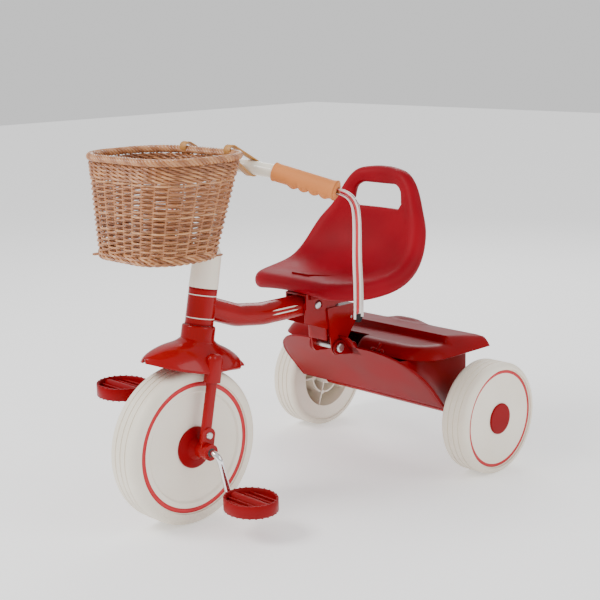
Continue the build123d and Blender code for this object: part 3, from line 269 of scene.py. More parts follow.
def fine_grain_group():
    group, enter, leave = group_with(
        "fine grain", {"Scale": 400.0, "Roughness": 0.6, "Stretch": 1.0}, ["Height", "Tint"])
    place = group.nodes.new("ShaderNodeTexCoord")
    stretch = group.nodes.new("ShaderNodeMapping")
    combine = add_node(group, "ShaderNodeCombineXYZ", X=1.0, Y=1.0)
    group.links.new(enter.outputs["Stretch"], combine.inputs[2])
    group.links.new(place.outputs["Object"], stretch.inputs["Vector"])
    group.links.new(combine.outputs[0], stretch.inputs["Scale"])
    small = add_node(group, "ShaderNodeTexNoise", Detail=3.0)
    broad = add_node(group, "ShaderNodeTexNoise", Scale=9.0, Detail=2.0)
    for noise in (small, broad):
        group.links.new(stretch.outputs[0], noise.inputs["Vector"])
    group.links.new(enter.outputs["Scale"], small.inputs["Scale"])
    group.links.new(enter.outputs["Roughness"], small.inputs["Roughness"])
    group.links.new(small.outputs[0], leave.inputs["Height"])
    group.links.new(broad.outputs[0], leave.inputs["Tint"])
    return group


# A mottled brownish grey mask, full at the floor and gone by Floor Height; it depends on height alone.
def floor_tint_group():
    group, enter, leave = group_with("handling dust", {"Floor Height": 0.05, "Amount": 0.5}, ["Mask"])
    place = group.nodes.new("ShaderNodeNewGeometry")
    split = group.nodes.new("ShaderNodeSeparateXYZ")
    group.links.new(place.outputs["Position"], split.inputs[0])
    low = math_node(group, "DIVIDE", split.outputs[2], enter.outputs["Floor Height"])
    low = math_node(group, "SUBTRACT", 1.0, low)
    low = math_node(group, "MAXIMUM", low, 0.0)
    speck = add_node(group, "ShaderNodeTexNoise", Scale=60.0, Detail=6.0)
    mottled = math_node(group, "MULTIPLY", low, speck.outputs[0])
    mask = math_node(group, "MULTIPLY", mottled, enter.outputs["Amount"])
    group.links.new(mask, leave.inputs["Mask"])
    return group


FINE_GRAIN = fine_grain_group()
FLOOR_TINT = floor_tint_group()
print("node groups", [group.name for group in bpy.data.node_groups])


# %% [markdown]
# One recipe makes most finishes: a base colour that drifts between two near shades, a roughness that
# drifts with it, a fine bump for the texture of the surface, and a clear coat where the maker sprays
# one. What is the same all over stays on the shader's own sockets.

# %% Finish recipe
FLOOR_TINT_COLOUR = (0.42, 0.36, 0.3, 1)
FLOOR_TINT_REACH = 0.09
TINT_LOW, TINT_HIGH = 0.35, 0.65
GRAIN_DEPTH = 0.0006


def colour_mix(tree, factor, first, second):
    """A node that goes from one colour to another; either may be a socket or a plain colour."""
    mix = tree.nodes.new("ShaderNodeMix")
    mix.data_type = "RGBA"
    tree.links.new(factor, mix.inputs["Factor"])
    for name, value in (("A", first), ("B", second)):
        if isinstance(value, tuple):
            mix.inputs[name].default_value = value
        else:
            tree.links.new(value, mix.inputs[name])
    return mix.outputs["Result"]


def add_relief(tree, shader, height, strength, depth):
    """Let a height shade the surface."""
    relief = add_node(tree, "ShaderNodeBump", Strength=strength, Distance=depth)
    tree.links.new(height, relief.inputs["Height"])
    tree.links.new(relief.outputs[0], shader.inputs["Normal"])


def finish_of(name, dark, light, rough, grain, bump, dust=0.0, sockets=None, grain_in_colour=0.0):
    """A material from two colours, a roughness range, the grain's fineness and its depth."""
    material = bpy.data.materials.new(name)
    material.use_nodes = True
    tree = material.node_tree
    shader = tree.nodes["Principled BSDF"]
    texture = add_group(tree, FINE_GRAIN, Scale=grain)
    drift = add_node(tree, "ShaderNodeMapRange", From_Min=TINT_LOW, From_Max=TINT_HIGH)
    tint = texture.outputs["Tint"]
    if grain_in_colour:
        speckle = math_node(tree, "MULTIPLY", texture.outputs["Height"], grain_in_colour)
        tint = math_node(tree, "MULTIPLY", tint, 1.0 - grain_in_colour)
        tint = math_node(tree, "ADD", tint, speckle)
    tree.links.new(tint, drift.inputs["Value"])
    roughness = add_node(tree, "ShaderNodeMapRange", To_Min=rough[0], To_Max=rough[1])
    tree.links.new(drift.outputs[0], roughness.inputs["Value"])
    colour = colour_mix(tree, drift.outputs[0], (*dark, 1), (*light, 1))
    # mix in the floor tint: a mottled brownish grey that grows towards the floor
    if dust:
        floor_tint_node = add_group(tree, FLOOR_TINT, Floor_Height=FLOOR_TINT_REACH, Amount=dust)
        colour = colour_mix(tree, floor_tint_node.outputs["Mask"], colour, FLOOR_TINT_COLOUR)
    tree.links.new(colour, shader.inputs["Base Color"])
    tree.links.new(roughness.outputs[0], shader.inputs["Roughness"])
    add_relief(tree, shader, texture.outputs["Height"], bump, GRAIN_DEPTH)
    for socket, value in (sockets or {}).items():
        shader.inputs[socket].default_value = value
    return material


# %% [markdown]
# The reds are the tricycle's signature. The steel is sprayed and lacquered, so it is deep and wet; the
# moulded bin is a little flatter; the seat is grained plastic with a soft broad highlight. The cream of
# the wheels is warm and barely glossy.

# %% Finishes
RED_DEEP = (0.27, 0.0, 0.001)
RED_LIGHT = (0.34, 0.0, 0.003)
FINISH = {
    "red_paint": finish_of("red lacquered steel", RED_DEEP, RED_LIGHT, (0.2, 0.28), 900, 0.02,
                           sockets={"Coat Weight": 0.2, "Coat Roughness": 0.06,
                                    "Specular IOR Level": 0.14}),
    "red_plastic": finish_of("red moulded plastic", (0.2, 0.0, 0.002), (0.27, 0.0, 0.004),
                             (0.3, 0.4), 700, 0.02, dust=0.1,
                             sockets={"Specular IOR Level": 0.1}),
    "seat_red": finish_of("grained red seat", (0.22, 0.0, 0.006), (0.3, 0.0, 0.009),
                          (0.44, 0.54), 1500, 0.3, sockets={"Specular IOR Level": 0.12}),
    "cream_plastic": finish_of("warm cream plastic", (0.88, 0.8, 0.67), (0.93, 0.86, 0.74),
                               (0.36, 0.48), 500, 0.05, dust=0.35,
                               sockets={"Subsurface Weight": 0.04, "Subsurface Scale": 0.004}),
    "cream_tyre": finish_of("cream tread", (0.86, 0.78, 0.64), (0.91, 0.84, 0.71),
                            (0.45, 0.58), 650, 0.12, dust=0.8),
    "cream_paint": finish_of("cream enamel", (0.9, 0.86, 0.72), (0.95, 0.91, 0.78),
                             (0.22, 0.3), 900, 0.02, sockets={"Coat Weight": 0.5, "Coat Roughness": 0.08}),
    "grip": finish_of("tan embossed grip", (0.58, 0.17, 0.035), (0.74, 0.26, 0.06),
                      (0.6, 0.72), 1900, 0.6, grain_in_colour=0.35),
    "chrome": finish_of("polished chrome", (0.72, 0.72, 0.73), (0.86, 0.86, 0.87), (0.06, 0.12), 300,
                        0.01, sockets={"Metallic": 1.0}),
    "steel": finish_of("zinc plated steel", (0.5, 0.5, 0.5), (0.68, 0.67, 0.65), (0.26, 0.38), 900,
                       0.06, sockets={"Metallic": 1.0}),
    "black_plastic": finish_of("black moulded plastic", (0.012, 0.012, 0.013), (0.03, 0.03, 0.032),
                               (0.38, 0.5), 900, 0.15),
    "leather": finish_of("tan strap leather", (0.42, 0.18, 0.04), (0.6, 0.3, 0.08), (0.4, 0.55), 900,
                         0.35, grain_in_colour=0.3),
    "streamer_white": finish_of("white ribbon", (0.82, 0.79, 0.74), (0.9, 0.88, 0.84), (0.3, 0.4), 500,
                                0.1, sockets={"Sheen Weight": 0.2}),
    "streamer_red": finish_of("red ribbon", (0.5, 0.002, 0.01), (0.66, 0.004, 0.016), (0.25, 0.35), 500,
                              0.1, sockets={"Sheen Weight": 0.2}),
    "stripe": finish_of("red wheel stripe", (0.5, 0.004, 0.014), (0.6, 0.008, 0.02), (0.4, 0.5), 700,
                        0.06),
    # the slot in the pan: a near black red, painted shade standing in for its hollow
    "pan_mark": finish_of("painted shade of the slot in the pan", (0.05, 0.0, 0.002), (0.08, 0.0, 0.003), (0.5, 0.6),
                          900, 0.05),
    "pinstripe": finish_of("cream pinstripe", (0.8, 0.76, 0.66), (0.88, 0.84, 0.75), (0.3, 0.4), 700,
                           0.03),
}
SLOT_OF = {part["node"]: part["material_slot"] for part in frame["record"]["subparts"]}


def dress(piece, finish):
    """Give a piece its finish."""
    piece.data.materials.clear()
    piece.data.materials.append(FINISH[finish])
    return piece


for name, node in nodes.items():
    if SLOT_OF[name] in FINISH:
        dress(node, SLOT_OF[name])
for name in ("head_bushes", "seat_slider", "seat_screws"):
    dress(nodes[name], "red_plastic")
print("finishes", len(FINISH))

# %% [markdown]
# Willow comes as round rods. Stiff stakes stand up from the base, thin weavers pass in front of one
# stake and behind the next, and near the rim three rods twist together in each row of waling. One
# rule places every rod: a share of the way round the rounded outline, a height, and a step outwards.

# %% Basket outline
BASKET_LOW, BASKET_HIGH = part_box("basket")
TOP_SIZE = (243.0, 182.0)
FOOT_SIZE = (183.0, 143.0)
CORNER_SHARE = 0.4
REAR_LEAN = 41.0
BASKET_TALL = (BASKET_HIGH.z - BASKET_LOW.z) / MM
STAKES = 30
STRAND = 1.75
WALL_INSET = 4.3


def rounded_outline(size, share):
    """A point and its outward direction, a share of the way round a rounded rectangle."""
    width, depth = size
    corner = CORNER_SHARE * depth
    bend = corner * math.pi / 2
    flat_x = width - 2 * corner
    flat_y = depth - 2 * corner
    runs = (flat_x / 2, bend, flat_y, bend, flat_x, bend, flat_y, bend, flat_x / 2)
    way = (share % 1) * sum(runs)
    x, y, heading = 0.0, depth / 2, 0.0
    for i, run in enumerate(runs):
        step = min(way, run)
        if i % 2:
            after = heading - step / corner
            x += corner * (math.sin(heading) - math.sin(after))
            y += corner * (math.cos(after) - math.cos(heading))
            heading = after
        else:
            x += step * math.cos(heading)
            y += step * math.sin(heading)
        way -= step
        if way <= 0:
            break
    return Vector((x, y)), Vector((-math.sin(heading), math.cos(heading)))


def wall_point(share, height, outwards=0.0):
    """A point in the basket's wall; height and the step outwards are in millimetres."""
    rise = height / BASKET_TALL
    size = [low + (high - low) * rise for low, high in zip(FOOT_SIZE, TOP_SIZE)]
    place, out = rounded_outline(size, share)
    place = place + out * (outwards - WALL_INSET)
    rear = BASKET_HIGH.y / MM - REAR_LEAN * (1 - rise)
    return Vector((place.x, rear - size[1] / 2 + place.y, BASKET_LOW.z / MM + height)) * MM


print("basket", BASKET_TALL, "mm tall,", STAKES, "stakes")


# %% [markdown]
# Each rod carries a shade of its own, since no two willow rods dry to the same colour. The shade is a
# number stored on the rod's points, which the basket's finish reads.

# %% Weave the basket
class Weave:
    """Rods gathered into one mesh, with a shade for each."""

    def __init__(self):
        self.points = []
        self.faces = []
        self.shades = []

    def add(self, points, faces, shade=0.0):
        """More points, and faces that number them from zero."""
        start = len(self.points)
        self.points += points
        self.faces += [tuple(start + k for k in face) for face in faces]
        self.shades += [shade] * len(points)

    def rod(self, path, radius, sides=7, closed=False):
        """A rod along a path in metres, with a radius in millimetres."""
        points, faces = rod_mesh(path, radius * MM, sides, closed)
        self.add(points, faces, random.random())

    def piece(self, name, body, slot):
        piece = new_piece(name, self.points, self.faces, body)
        shade = piece.data.attributes.new("shade", "FLOAT", "POINT")
        shade.data.foreach_set("value", self.shades)
        return piece


WEAVER_PITCH = 3.9
FIRST_WEAVER = 14.0
LAST_WEAVER = 121.0
WALE_HEIGHTS = (126.0, 131.6, 137.2, 142.8)
FOOT_HEIGHTS = (4.0, 9.5)
BORDER_DEPTH = 6.2


def weave_sides(weave):
    """The thin weavers, each a little wavy."""
    steps = STAKES * 6
    rows = int((LAST_WEAVER - FIRST_WEAVER) / WEAVER_PITCH) + 1
    for row in range(rows):
        height = FIRST_WEAVER + row * WEAVER_PITCH
        wobble = random.uniform(0, 6.28)
        path = []
        for i in range(steps):
            share = i / steps
            wave = 2.5 * math.cos(math.pi * (share * STAKES + row))
            sway = 0.35 * math.sin(2 * math.pi * share * 5 + wobble)
            path.append(wall_point(share, height + sway, wave))
        weave.rod(path, STRAND * random.uniform(0.92, 1.08), closed=True)
    return rows


def weave_rope(weave, height, strands, twist, radius, turns, steps):
    """Rods that twist round each other all the way round the wall."""
    for strand in range(strands):
        path = []
        for i in range(steps):
            share = i / steps
            turn = 2 * math.pi * (share * turns + strand / strands)
            up = twist * math.sin(turn)
            path.append(wall_point(share, height + up, twist * math.cos(turn)))
        weave.rod(path, radius, closed=True)


def weave_stakes(weave):
    """The upright stakes."""
    for k in range(STAKES):
        lean = random.uniform(-0.0015, 0.0015)
        path = []
        for i in range(9):
            height = 5 + (BASKET_TALL - 13) * i / 8
            path.append(wall_point((k + 0.5) / STAKES + lean * i / 8, height))
        weave.rod(path, 1.7)


def weave_floor(weave):
    """Rings and cross rods under the basket."""
    floor = BASKET_LOW.z / MM + 4.2
    middle = BASKET_HIGH.y / MM - REAR_LEAN - FOOT_SIZE[1] / 2
    for k in range(12):
        size = [side - 10 - k * 10.6 for side in FOOT_SIZE]
        path = []
        for i in range(96):
            place, _ = rounded_outline(size, i / 96)
            lift = 1.5 * math.cos(math.pi * (i / 4 + k))
            path.append(Vector((place.x, middle + place.y, floor + lift)) * MM)
        weave.rod(path, 1.9, 6, closed=True)
    for k in range(-4, 5):
        for half in (-1.8, 1.8):
            x = k * 19.0 + half
            reach = FOOT_SIZE[1] / 2 - 8
            ends = [Vector((x, middle + side * reach, floor)) * MM for side in (-1, 1)]
            weave.rod(ends, 1.7, 6)


basket_weave = Weave()
weaver_rows = weave_sides(basket_weave)
for height in WALE_HEIGHTS:
    weave_rope(basket_weave, height, 3, 2.3, 1.8, STAKES // 2, STAKES * 8)
for height in FOOT_HEIGHTS:
    weave_rope(basket_weave, height, 3, 2.2, 1.9, STAKES // 2, STAKES * 6)
weave_rope(basket_weave, BASKET_TALL - BORDER_DEPTH, 5, 3.7, 2.5, STAKES - 8, STAKES * 12)
weave_stakes(basket_weave)
weave_floor(basket_weave)
basket = basket_weave.piece("wicker_basket", "fork", "wicker")
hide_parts("basket")
print("weaver rows", weaver_rows, "faces", len(basket.data.polygons))


# %% [markdown]
# The willow is steamed, stained and varnished: honey where the light goes through the varnish, brown
# in the crossings. Ambient occlusion has no place in an exported colour, so the brown of the
# crossings comes from the rod's shade and a long, thin grain.

# %% Wicker finish
WILLOW_BROWN = (0.2, 0.062, 0.02, 1)
WILLOW_HONEY = (0.42, 0.165, 0.06, 1)
WILLOW_PALE = (0.6, 0.3, 0.13, 1)
WILLOW_GRAIN = 260.0
WILLOW_DEPTH = 0.0004


def wicker_finish():
    material = bpy.data.materials.new("varnished willow")
    material.use_nodes = True
    tree = material.node_tree
    shader = tree.nodes["Principled BSDF"]
    shade = tree.nodes.new("ShaderNodeAttribute")
    shade.attribute_name = "shade"
    grain = add_group(tree, FINE_GRAIN, Scale=WILLOW_GRAIN)
    streak = math_node(tree, "MULTIPLY", grain.outputs["Height"], 0.45)
    body = math_node(tree, "MULTIPLY", shade.outputs["Fac"], 0.55)
    mix = math_node(tree, "ADD", streak, body)
    ramp = tree.nodes.new("ShaderNodeValToRGB")
    first, last = ramp.color_ramp.elements
    first.position, first.color = 0.12, WILLOW_BROWN
    last.position, last.color = 0.85, WILLOW_PALE
    ramp.color_ramp.elements.new(0.5).color = WILLOW_HONEY
    tree.links.new(mix, ramp.inputs["Fac"])
    tree.links.new(ramp.outputs["Color"], shader.inputs["Base Color"])
    add_relief(tree, shader, grain.outputs["Height"], 0.3, WILLOW_DEPTH)
    shader.inputs["Roughness"].default_value = 0.38
    shader.inputs["Coat Weight"].default_value = 0.35
    shader.inputs["Coat Roughness"].default_value = 0.15
    return material


FINISH["wicker"] = wicker_finish()
dress(basket, "wicker")
print("willow shades", len(basket.data.attributes["shade"].data))

# %% [markdown]
# Two leather straps hold the basket's rear rim to the handlebar. A strap is a band pulled tight round
# two round things, so its path is the outline that wraps both circles, and its section is a flat
# rectangle with its edges rubbed round. Saddle stitches run along both edges.

# %% Leather straps
STRAP_X = 53.0
STRAP_WIDTH = 15.0
STRAP_THICK = 2.2
STITCH_INSET = 1.9
ROUND_BAR, ROUND_RIM = 11.5, 7.0
BAR_HEIGHT = 452.0
BAR_MIDDLE = (90.0, 39.0, 445.5)
BAR_END = (185.0, 80.0, 427.8)


def belt_path(circles, spacing=2.0):
    """The band round some circles, each (y, z, radius), as evenly spaced points."""
    cloud = []
    for y, z, radius in circles:
        for k in range(180):
            turn = math.radians(2 * k)
            cloud.append(Vector((y + radius * math.cos(turn), z + radius * math.sin(turn))))
    corners = [cloud[i] for i in convex_hull_2d(cloud)]
    even = []
    left = 0.0
    for a, b in zip(corners, corners[1:] + corners[:1]):
        length = (b - a).length
        while left < length:
            even.append(a.lerp(b, left / length))
            left += spacing
        left -= length
    return even


STRAP_SECTION = ((-1, 0.55), (-0.93, 0.95), (0.93, 0.95), (1, 0.55), (1, -0.55), (0.93, -1), (-0.93, -1),
                 (-1, -0.55))


def away_from(middle, place, along):
    """The direction square to a path that looks away from the middle."""
    out = Vector((-along.y, along.x)).normalized()
    return -out if out.dot(place - middle) < 0 else out


def strap_mesh(side):
    """The band round the bar and the basket's rim, with its stitches."""
    share = STRAP_X / BAR_MIDDLE[0]
    bar = steered(0, share * BAR_MIDDLE[1], BAR_HEIGHT + share * (BAR_MIDDLE[2] - BAR_HEIGHT)) / MM
    rim_y = BASKET_HIGH.y / MM - 4.0
    rim_z = BASKET_HIGH.z / MM - 3.0
    half = STRAP_THICK / 2
    circles = ((bar.y, bar.z, ROUND_BAR + half), (rim_y, rim_z, ROUND_RIM + half))
    belt = belt_path(circles)
    middle = (Vector((bar.y, bar.z)) + Vector((rim_y, rim_z))) / 2
    points = []
    count = len(belt)
    for i, place in enumerate(belt):
        out = away_from(middle, place, belt[(i + 1) % count] - belt[i - 1])
        for wide, thick in STRAP_SECTION:
            spot = place + out * (thick * half)
            points.append(Vector((side * STRAP_X + wide * STRAP_WIDTH / 2, spot.x, spot.y)) * MM)
    faces = grid_faces(count, len(STRAP_SECTION), close_rows=True, close_columns=True)
    weave = Weave()
    weave.add(points, faces)
    for edge in (-1, 1):
        for i in range(0, count - 1, 2):
            a, b = belt[i], belt[i].lerp(belt[i + 1], 0.8)
            x = side * STRAP_X + edge * (STRAP_WIDTH / 2 - STITCH_INSET)
            out = away_from(middle, a, b - a)
            stitch = [Vector((x, p.x, p.y)) * MM for p in (a + out * half, b + out * half)]
            weave.rod(stitch, 0.4, 5)
    return weave


for side, name in ((1, "strap_left"), (-1, "strap_right")):
    strap = outward(strap_mesh(side).piece(name, "fork", "leather"))
    dress(strap, "leather")
    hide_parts("basket_straps")
print("straps at x", STRAP_X)

# %% [markdown]
# The fender is one pressed sheet with a leaf's outline: it arches across, falls away fore and aft, and
# flares up into the neck that the head tube turns on. One height rule gives the sheet; the neck is
# lathed and the ears over the fork legs are domed sleeves.

# %% Fender
FENDER_FRONT = 101.0
FENDER_REAR = 106.0
FENDER_EDGE = 130.0
FENDER_TOP = 164.0
NECK_RADIUS = 27.0
EAR_OUT = 47.0
EAR_SIZE = (9.8, 13.6)


def fender_half_width(t):
    """The leaf's half width: blunt in front, narrower behind."""
    front = math.sin(math.pi * min(1.0, t / 0.95)) ** 0.56
    return 3 + 51 * front * (1 - 0.28 * max(0.0, t - 0.45) / 0.55)


def fender_point(t, u):
    """A point of the sheet, from the front tip (t = 0) to the rear and across from -1 to 1."""
    back = -FENDER_FRONT + t * (FENDER_FRONT + FENDER_REAR)
    reach = FENDER_FRONT if back < 0 else FENDER_REAR
    blunt = 5.0 * (1 - t) ** 3
    edge = FENDER_EDGE - 4.5 * math.sin(math.pi * min(1.0, t / 0.75)) ** 2
    ridge = FENDER_TOP + 3 - (FENDER_TOP - FENDER_EDGE - blunt) * (abs(back) / reach) ** 2.3
    height = ridge - (ridge - edge) * abs(u) ** 3 - 7 * max(0.0, t - 0.6)
    x = u * fender_half_width(t)
    apart = max(0.0, math.hypot(x, back) - NECK_RADIUS)
    return x, back, height + 6 * math.exp(-apart / 5.0) * (1 - abs(u) ** 4)


def fender_sheet():
    stations, across = 57, 41
    points = []
    for i in range(stations):
        t = 0.5 - 0.5 * math.cos(math.pi * i / (stations - 1))
        spread = [math.sin(math.pi / 2 * (-1 + 2 * j / (across - 1))) for j in range(across)]
        line = [fender_point(t, u) for u in spread]
        first, last = line[0], line[-1]
        fade = 0.12 + 0.88 * min(1.0, 8 * min(t, 1 - t))
        lip = [(-0.3 * fade, 1.2 * fade), (0.1 * fade, 3.2 * fade)]
        left = [(first[0] - out, first[1], first[2] - down) for out, down in reversed(lip)]
        right = [(last[0] + out, last[1], last[2] - down) for out, down in lip]
        points += [steered(*p) for p in left + line + right]
    return points, grid_faces(stations, across + 4)


points, faces = fender_sheet()
fender = new_piece("fender_sheet", points, faces, "fork")
thicken(fender, 0.0018, offset=-1.0)
outward(fender)
dress(fender, "red_paint")
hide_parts("fender")


def lathe_steering(name, outline, steps=96):
    """Turn a closed (radius, height) outline about the steering axis."""
    points = []
    for i in range(steps):
        turn = 2 * math.pi * i / steps
        points += [steered(r * math.cos(turn), r * math.sin(turn), s) for r, s in outline]
    faces = grid_faces(steps, len(outline), close_rows=True, close_columns=True)
    return outward(new_piece(name, points, faces, "fork"))


neck_outline = [(16.2, 166), (28.6, 164), (27.6, 168), (27.1, 173), (27, 188.5), (26.5, 190.6),
                (25.2, 191.9), (23.4, 192.2), (16.2, 192.2)]
neck = dress(lathe_steering("fender_neck", neck_outline), "red_paint")
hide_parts("fender")


def ear_mesh(side):
    """A domed sleeve over one fork leg."""
    levels = [(108, 1.0), (108.4, 1.03), (110, 1.04), (128, 1.03), (140, 1.02), (146, 0.98), (150, 0.86),
              (152.5, 0.62), (153.5, 0.3), (153.6, 0.02)]
    points = []
    steps = 32
    for s, grow in levels:
        for k in range(steps):
            turn = 2 * math.pi * k / steps
            x = math.copysign(abs(math.cos(turn)) ** 0.7, math.cos(turn)) * EAR_SIZE[0] * grow
            back = math.copysign(abs(math.sin(turn)) ** 0.8, math.sin(turn)) * EAR_SIZE[1] * grow
            points.append(steered(side * EAR_OUT + x, back, s))
    return points, grid_faces(len(levels), steps, close_columns=True)


for side, name in ((1, "fender_ear_left"), (-1, "fender_ear_right")):
    points, faces = ear_mesh(side)
    ear = dress(outward(new_piece(name, points, faces, "fork")), "red_paint")
    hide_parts("fender")
print("fender faces", len(fender.data.polygons))

# %% [markdown]
# The grips are soft plastic sleeves with four swells for the fingers on the under side. Their radius is
# a rule of the way along and the way round, so the swells fade out towards the top. A round plug shuts
# each end of the bar and holds the streamers.

# %% Grips and plugs
GRIP_LENGTH = 105.0
GRIP_RADIUS = 14.3


def bar_end_frame(side):
    """Origin and directions at one end of the bar: outwards along it, up, and across."""
    end = steered(side * BAR_END[0], BAR_END[1], BAR_END[2])
    inner = steered(side * BAR_MIDDLE[0], BAR_MIDDLE[1], BAR_MIDDLE[2])
    out = (end - inner).normalized()
    up = (Vector((0, 0, 1)) - out * out.z).normalized()
    return end, out, up, out.cross(up)


def grip_radius(along, turn):
    """Radius at a distance in from the end of the bar; turn 0 is the top."""
    under = max(0.0, -math.cos(turn)) ** 1.2
    way = (along - 7) / (GRIP_LENGTH - 33)
    swell = 0.0
    if 0 < way < 1:
        swell = abs(math.sin(math.pi * 4 * way)) ** 0.8
    ends = 1.6 * math.exp(-(along / 3.2) ** 2) + 0.9 * math.exp(-((GRIP_LENGTH - along) / 2.4) ** 2)
    return GRIP_RADIUS - 1.8 * under * (0 < way < 1) + 5.2 * swell * under + ends


def sleeve(name, side, stations, radius_rule, bore, steps=64):
    end, out, up, across = bar_end_frame(side)
    outline = [(along, None) for along in stations] + [(stations[-1], bore), (stations[0], bore)]
    points = []
    for i in range(steps):
        turn = 2 * math.pi * i / steps
        for along, radius in outline:
            size = radius_rule(along, turn) if radius is None else radius
            round_it = up * math.cos(turn) + across * math.sin(turn)
            points.append(end + (round_it * size - out * along) * MM)
    faces = grid_faces(steps, len(outline), close_rows=True, close_columns=True)
    return outward(new_piece(name, points, faces, "fork"))


def plug_radius(along, turn):
    """The plug's face is a shallow dome; along runs from its face inwards."""
    return 13.6 * min(1.0, 0.62 + 0.38 * math.sqrt(max(0.0, (along + 3.2) / 2.2)))


grip_stations = [0, 0.4, 1.2, 2.5, 4.5] + [7 + 3 * k for k in range(31)] + [99.5, 101.5, 103.4, 104.6, 105]
plug_stations = [-3.2, -3.0, -2.4, -1.4, -0.6, 0]
for side, word in SIDES:
    grip = sleeve(f"finger_grip_{word}", side, grip_stations, grip_radius, 11.05)
    dress(grip, "grip")
    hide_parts(f"grip_{word}")
    plug = sleeve(f"bar_plug_{word}", side, plug_stations, plug_radius, 6.0)
    dress(plug, "grip")
    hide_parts("streamer_plugs")
print("grip stations", len(grip_stations))

# %% [markdown]
# Five ribbons hang from each plug, three white and two red. Each follows the same corners as its cord in
# the working model: out of the plug, over, and down. The curve is only a path; the ribbon itself is a
# thin flat band that turns a little as it falls.

# %% Streamers
RIBBON_WIDTH = 4.6
STREAMER_BEND = [(0, 0), (10.5, 2.7), (20, 8.2), (26.5, 16.5), (30, 29)]
STREAMER_HANG = [(31, 0.29), (30, 0.54), (32, 0.79), (31, 1.0)]
STREAMER_DROP = {"left": 190.0, "right": 150.0}
# (sideways, over the top, extra length) for each streamer of one handle
STREAMER_SPREAD = [
    (0.0, 3.3, -3.0), (6.6, 3.3, 4.0), (-6.6, 3.3, -6.0), (3.4, -3.3, 0.0), (-3.4, -3.3, 6.0),
]
STREAMER_FAN = 0.35


def streamer_route(side, spread):
    """The corners of one streamer's path, in metres."""
    end, along, _, _ = bar_end_frame(1)
    start = end / MM + along * 3
    out = Vector((along.x, along.y, 0)).normalized()
    aside = Vector((0, 0, 1)).cross(out)
    drop = STREAMER_DROP[side] + spread[2]
    flat = STREAMER_BEND + [(reach, share * drop) for reach, share in STREAMER_HANG]
    route = []
    for i, (reach, down) in enumerate(flat):
        before = flat[max(i - 1, 0)]
        after = flat[min(i + 1, len(flat) - 1)]
        run = math.hypot(after[0] - before[0], after[1] - before[1])
        over_out = (after[1] - before[1]) / run
        over_up = (after[0] - before[0]) / run
        wide = spread[0] * (1 + STREAMER_FAN * down / drop)
        point = start + out * (reach + over_out * spread[1]) + aside * wide
        route.append((point + Vector((0, 0, over_up * spread[1] - down))) * MM)
    if side == "right":
        route = [Vector((-p.x, p.y, p.z)) for p in route]
    return route, aside


def curve_points(name, route):
    """The smooth path through a route's corners."""
    curve = bpy.data.curves.new(name, "CURVE")
    curve.dimensions = "3D"
    spline = curve.splines.new("NURBS")
    spline.points.add(len(route) - 1)
    for corner, place in zip(spline.points, route):
        corner.co = (*place, 1)
    spline.order_u = 3
    spline.use_endpoint_u = True
    spline.resolution_u = 10
    carrier = bpy.data.objects.new(name, curve)
    bpy.context.scene.collection.objects.link(carrier)
    graph = bpy.context.evaluated_depsgraph_get()
    mesh = bpy.data.meshes.new_from_object(carrier.evaluated_get(graph))
    points = [vertex.co.copy() for vertex in mesh.vertices]
    bpy.data.objects.remove(carrier)
    bpy.data.meshes.remove(mesh)
    return points


RIBBON_SECTION = ((-1, 0.0), (-0.55, 0.5), (0, 0.65), (0.55, 0.5), (1, 0.0), (0.55, 0.2), (0, 0.35),
                  (-0.55, 0.2))


def ribbon(name, path, aside, twist):
    """A flat band along a path; the section is a shallow gutter, as a cut ribbon curls."""
    points = []
    count = len(path)
    for i, place in enumerate(path):
        ahead = path[min(i + 1, count - 1)]
        behind = path[max(i - 1, 0)]
        along = (ahead - behind).normalized()
        wide = (aside - along * aside.dot(along)).normalized()
        thick = along.cross(wide)
        way = i / (count - 1)
        turn = twist * way ** 1.5
        across = wide * math.cos(turn) + thick * math.sin(turn)
        proud = thick * math.cos(turn) - wide * math.sin(turn)
        half = RIBBON_WIDTH / 2
        for w, h in RIBBON_SECTION:
            points.append(place + (across * (w * half) + proud * (h * 0.9)) * MM)
    faces = grid_faces(count, len(RIBBON_SECTION), close_columns=True)
    faces.append(tuple(range(len(RIBBON_SECTION)))[::-1])
    last = (count - 1) * len(RIBBON_SECTION)
    faces.append(tuple(last + k for k in range(len(RIBBON_SECTION))))
    return outward(new_piece(name, points, faces, "fork"))


TWISTS = (1.3, -1.6, 1.0, -1.2, 1.8)
for word in ("left", "right"):
    for index, spread in enumerate(STREAMER_SPREAD):
        route, aside = streamer_route(word, spread)
        if word == "right":
            aside = Vector((-aside.x, aside.y, aside.z))
        path = curve_points(f"path_{word}_{index + 1}", route)
        length = sum((b - a).length for a, b in zip(path, path[1:]))
        slot = "streamer_red" if index in (2, 3) else "streamer_white"
        name = f"ribbon_{word}_{index + 1}"
        piece = dress(ribbon(name, path, aside, TWISTS[index]), slot)
        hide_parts(f"streamer_{word}_{index + 1}")
        print(name, round(length / MM, 1), "mm")

# %% [markdown]
# The seat is one moulded bucket. Its sections across the pan and up the back are a coarse net; the
# middle of the back is left out for the hand slot; both edges roll over and down. Smoothing the net
# gives the soft plastic form.

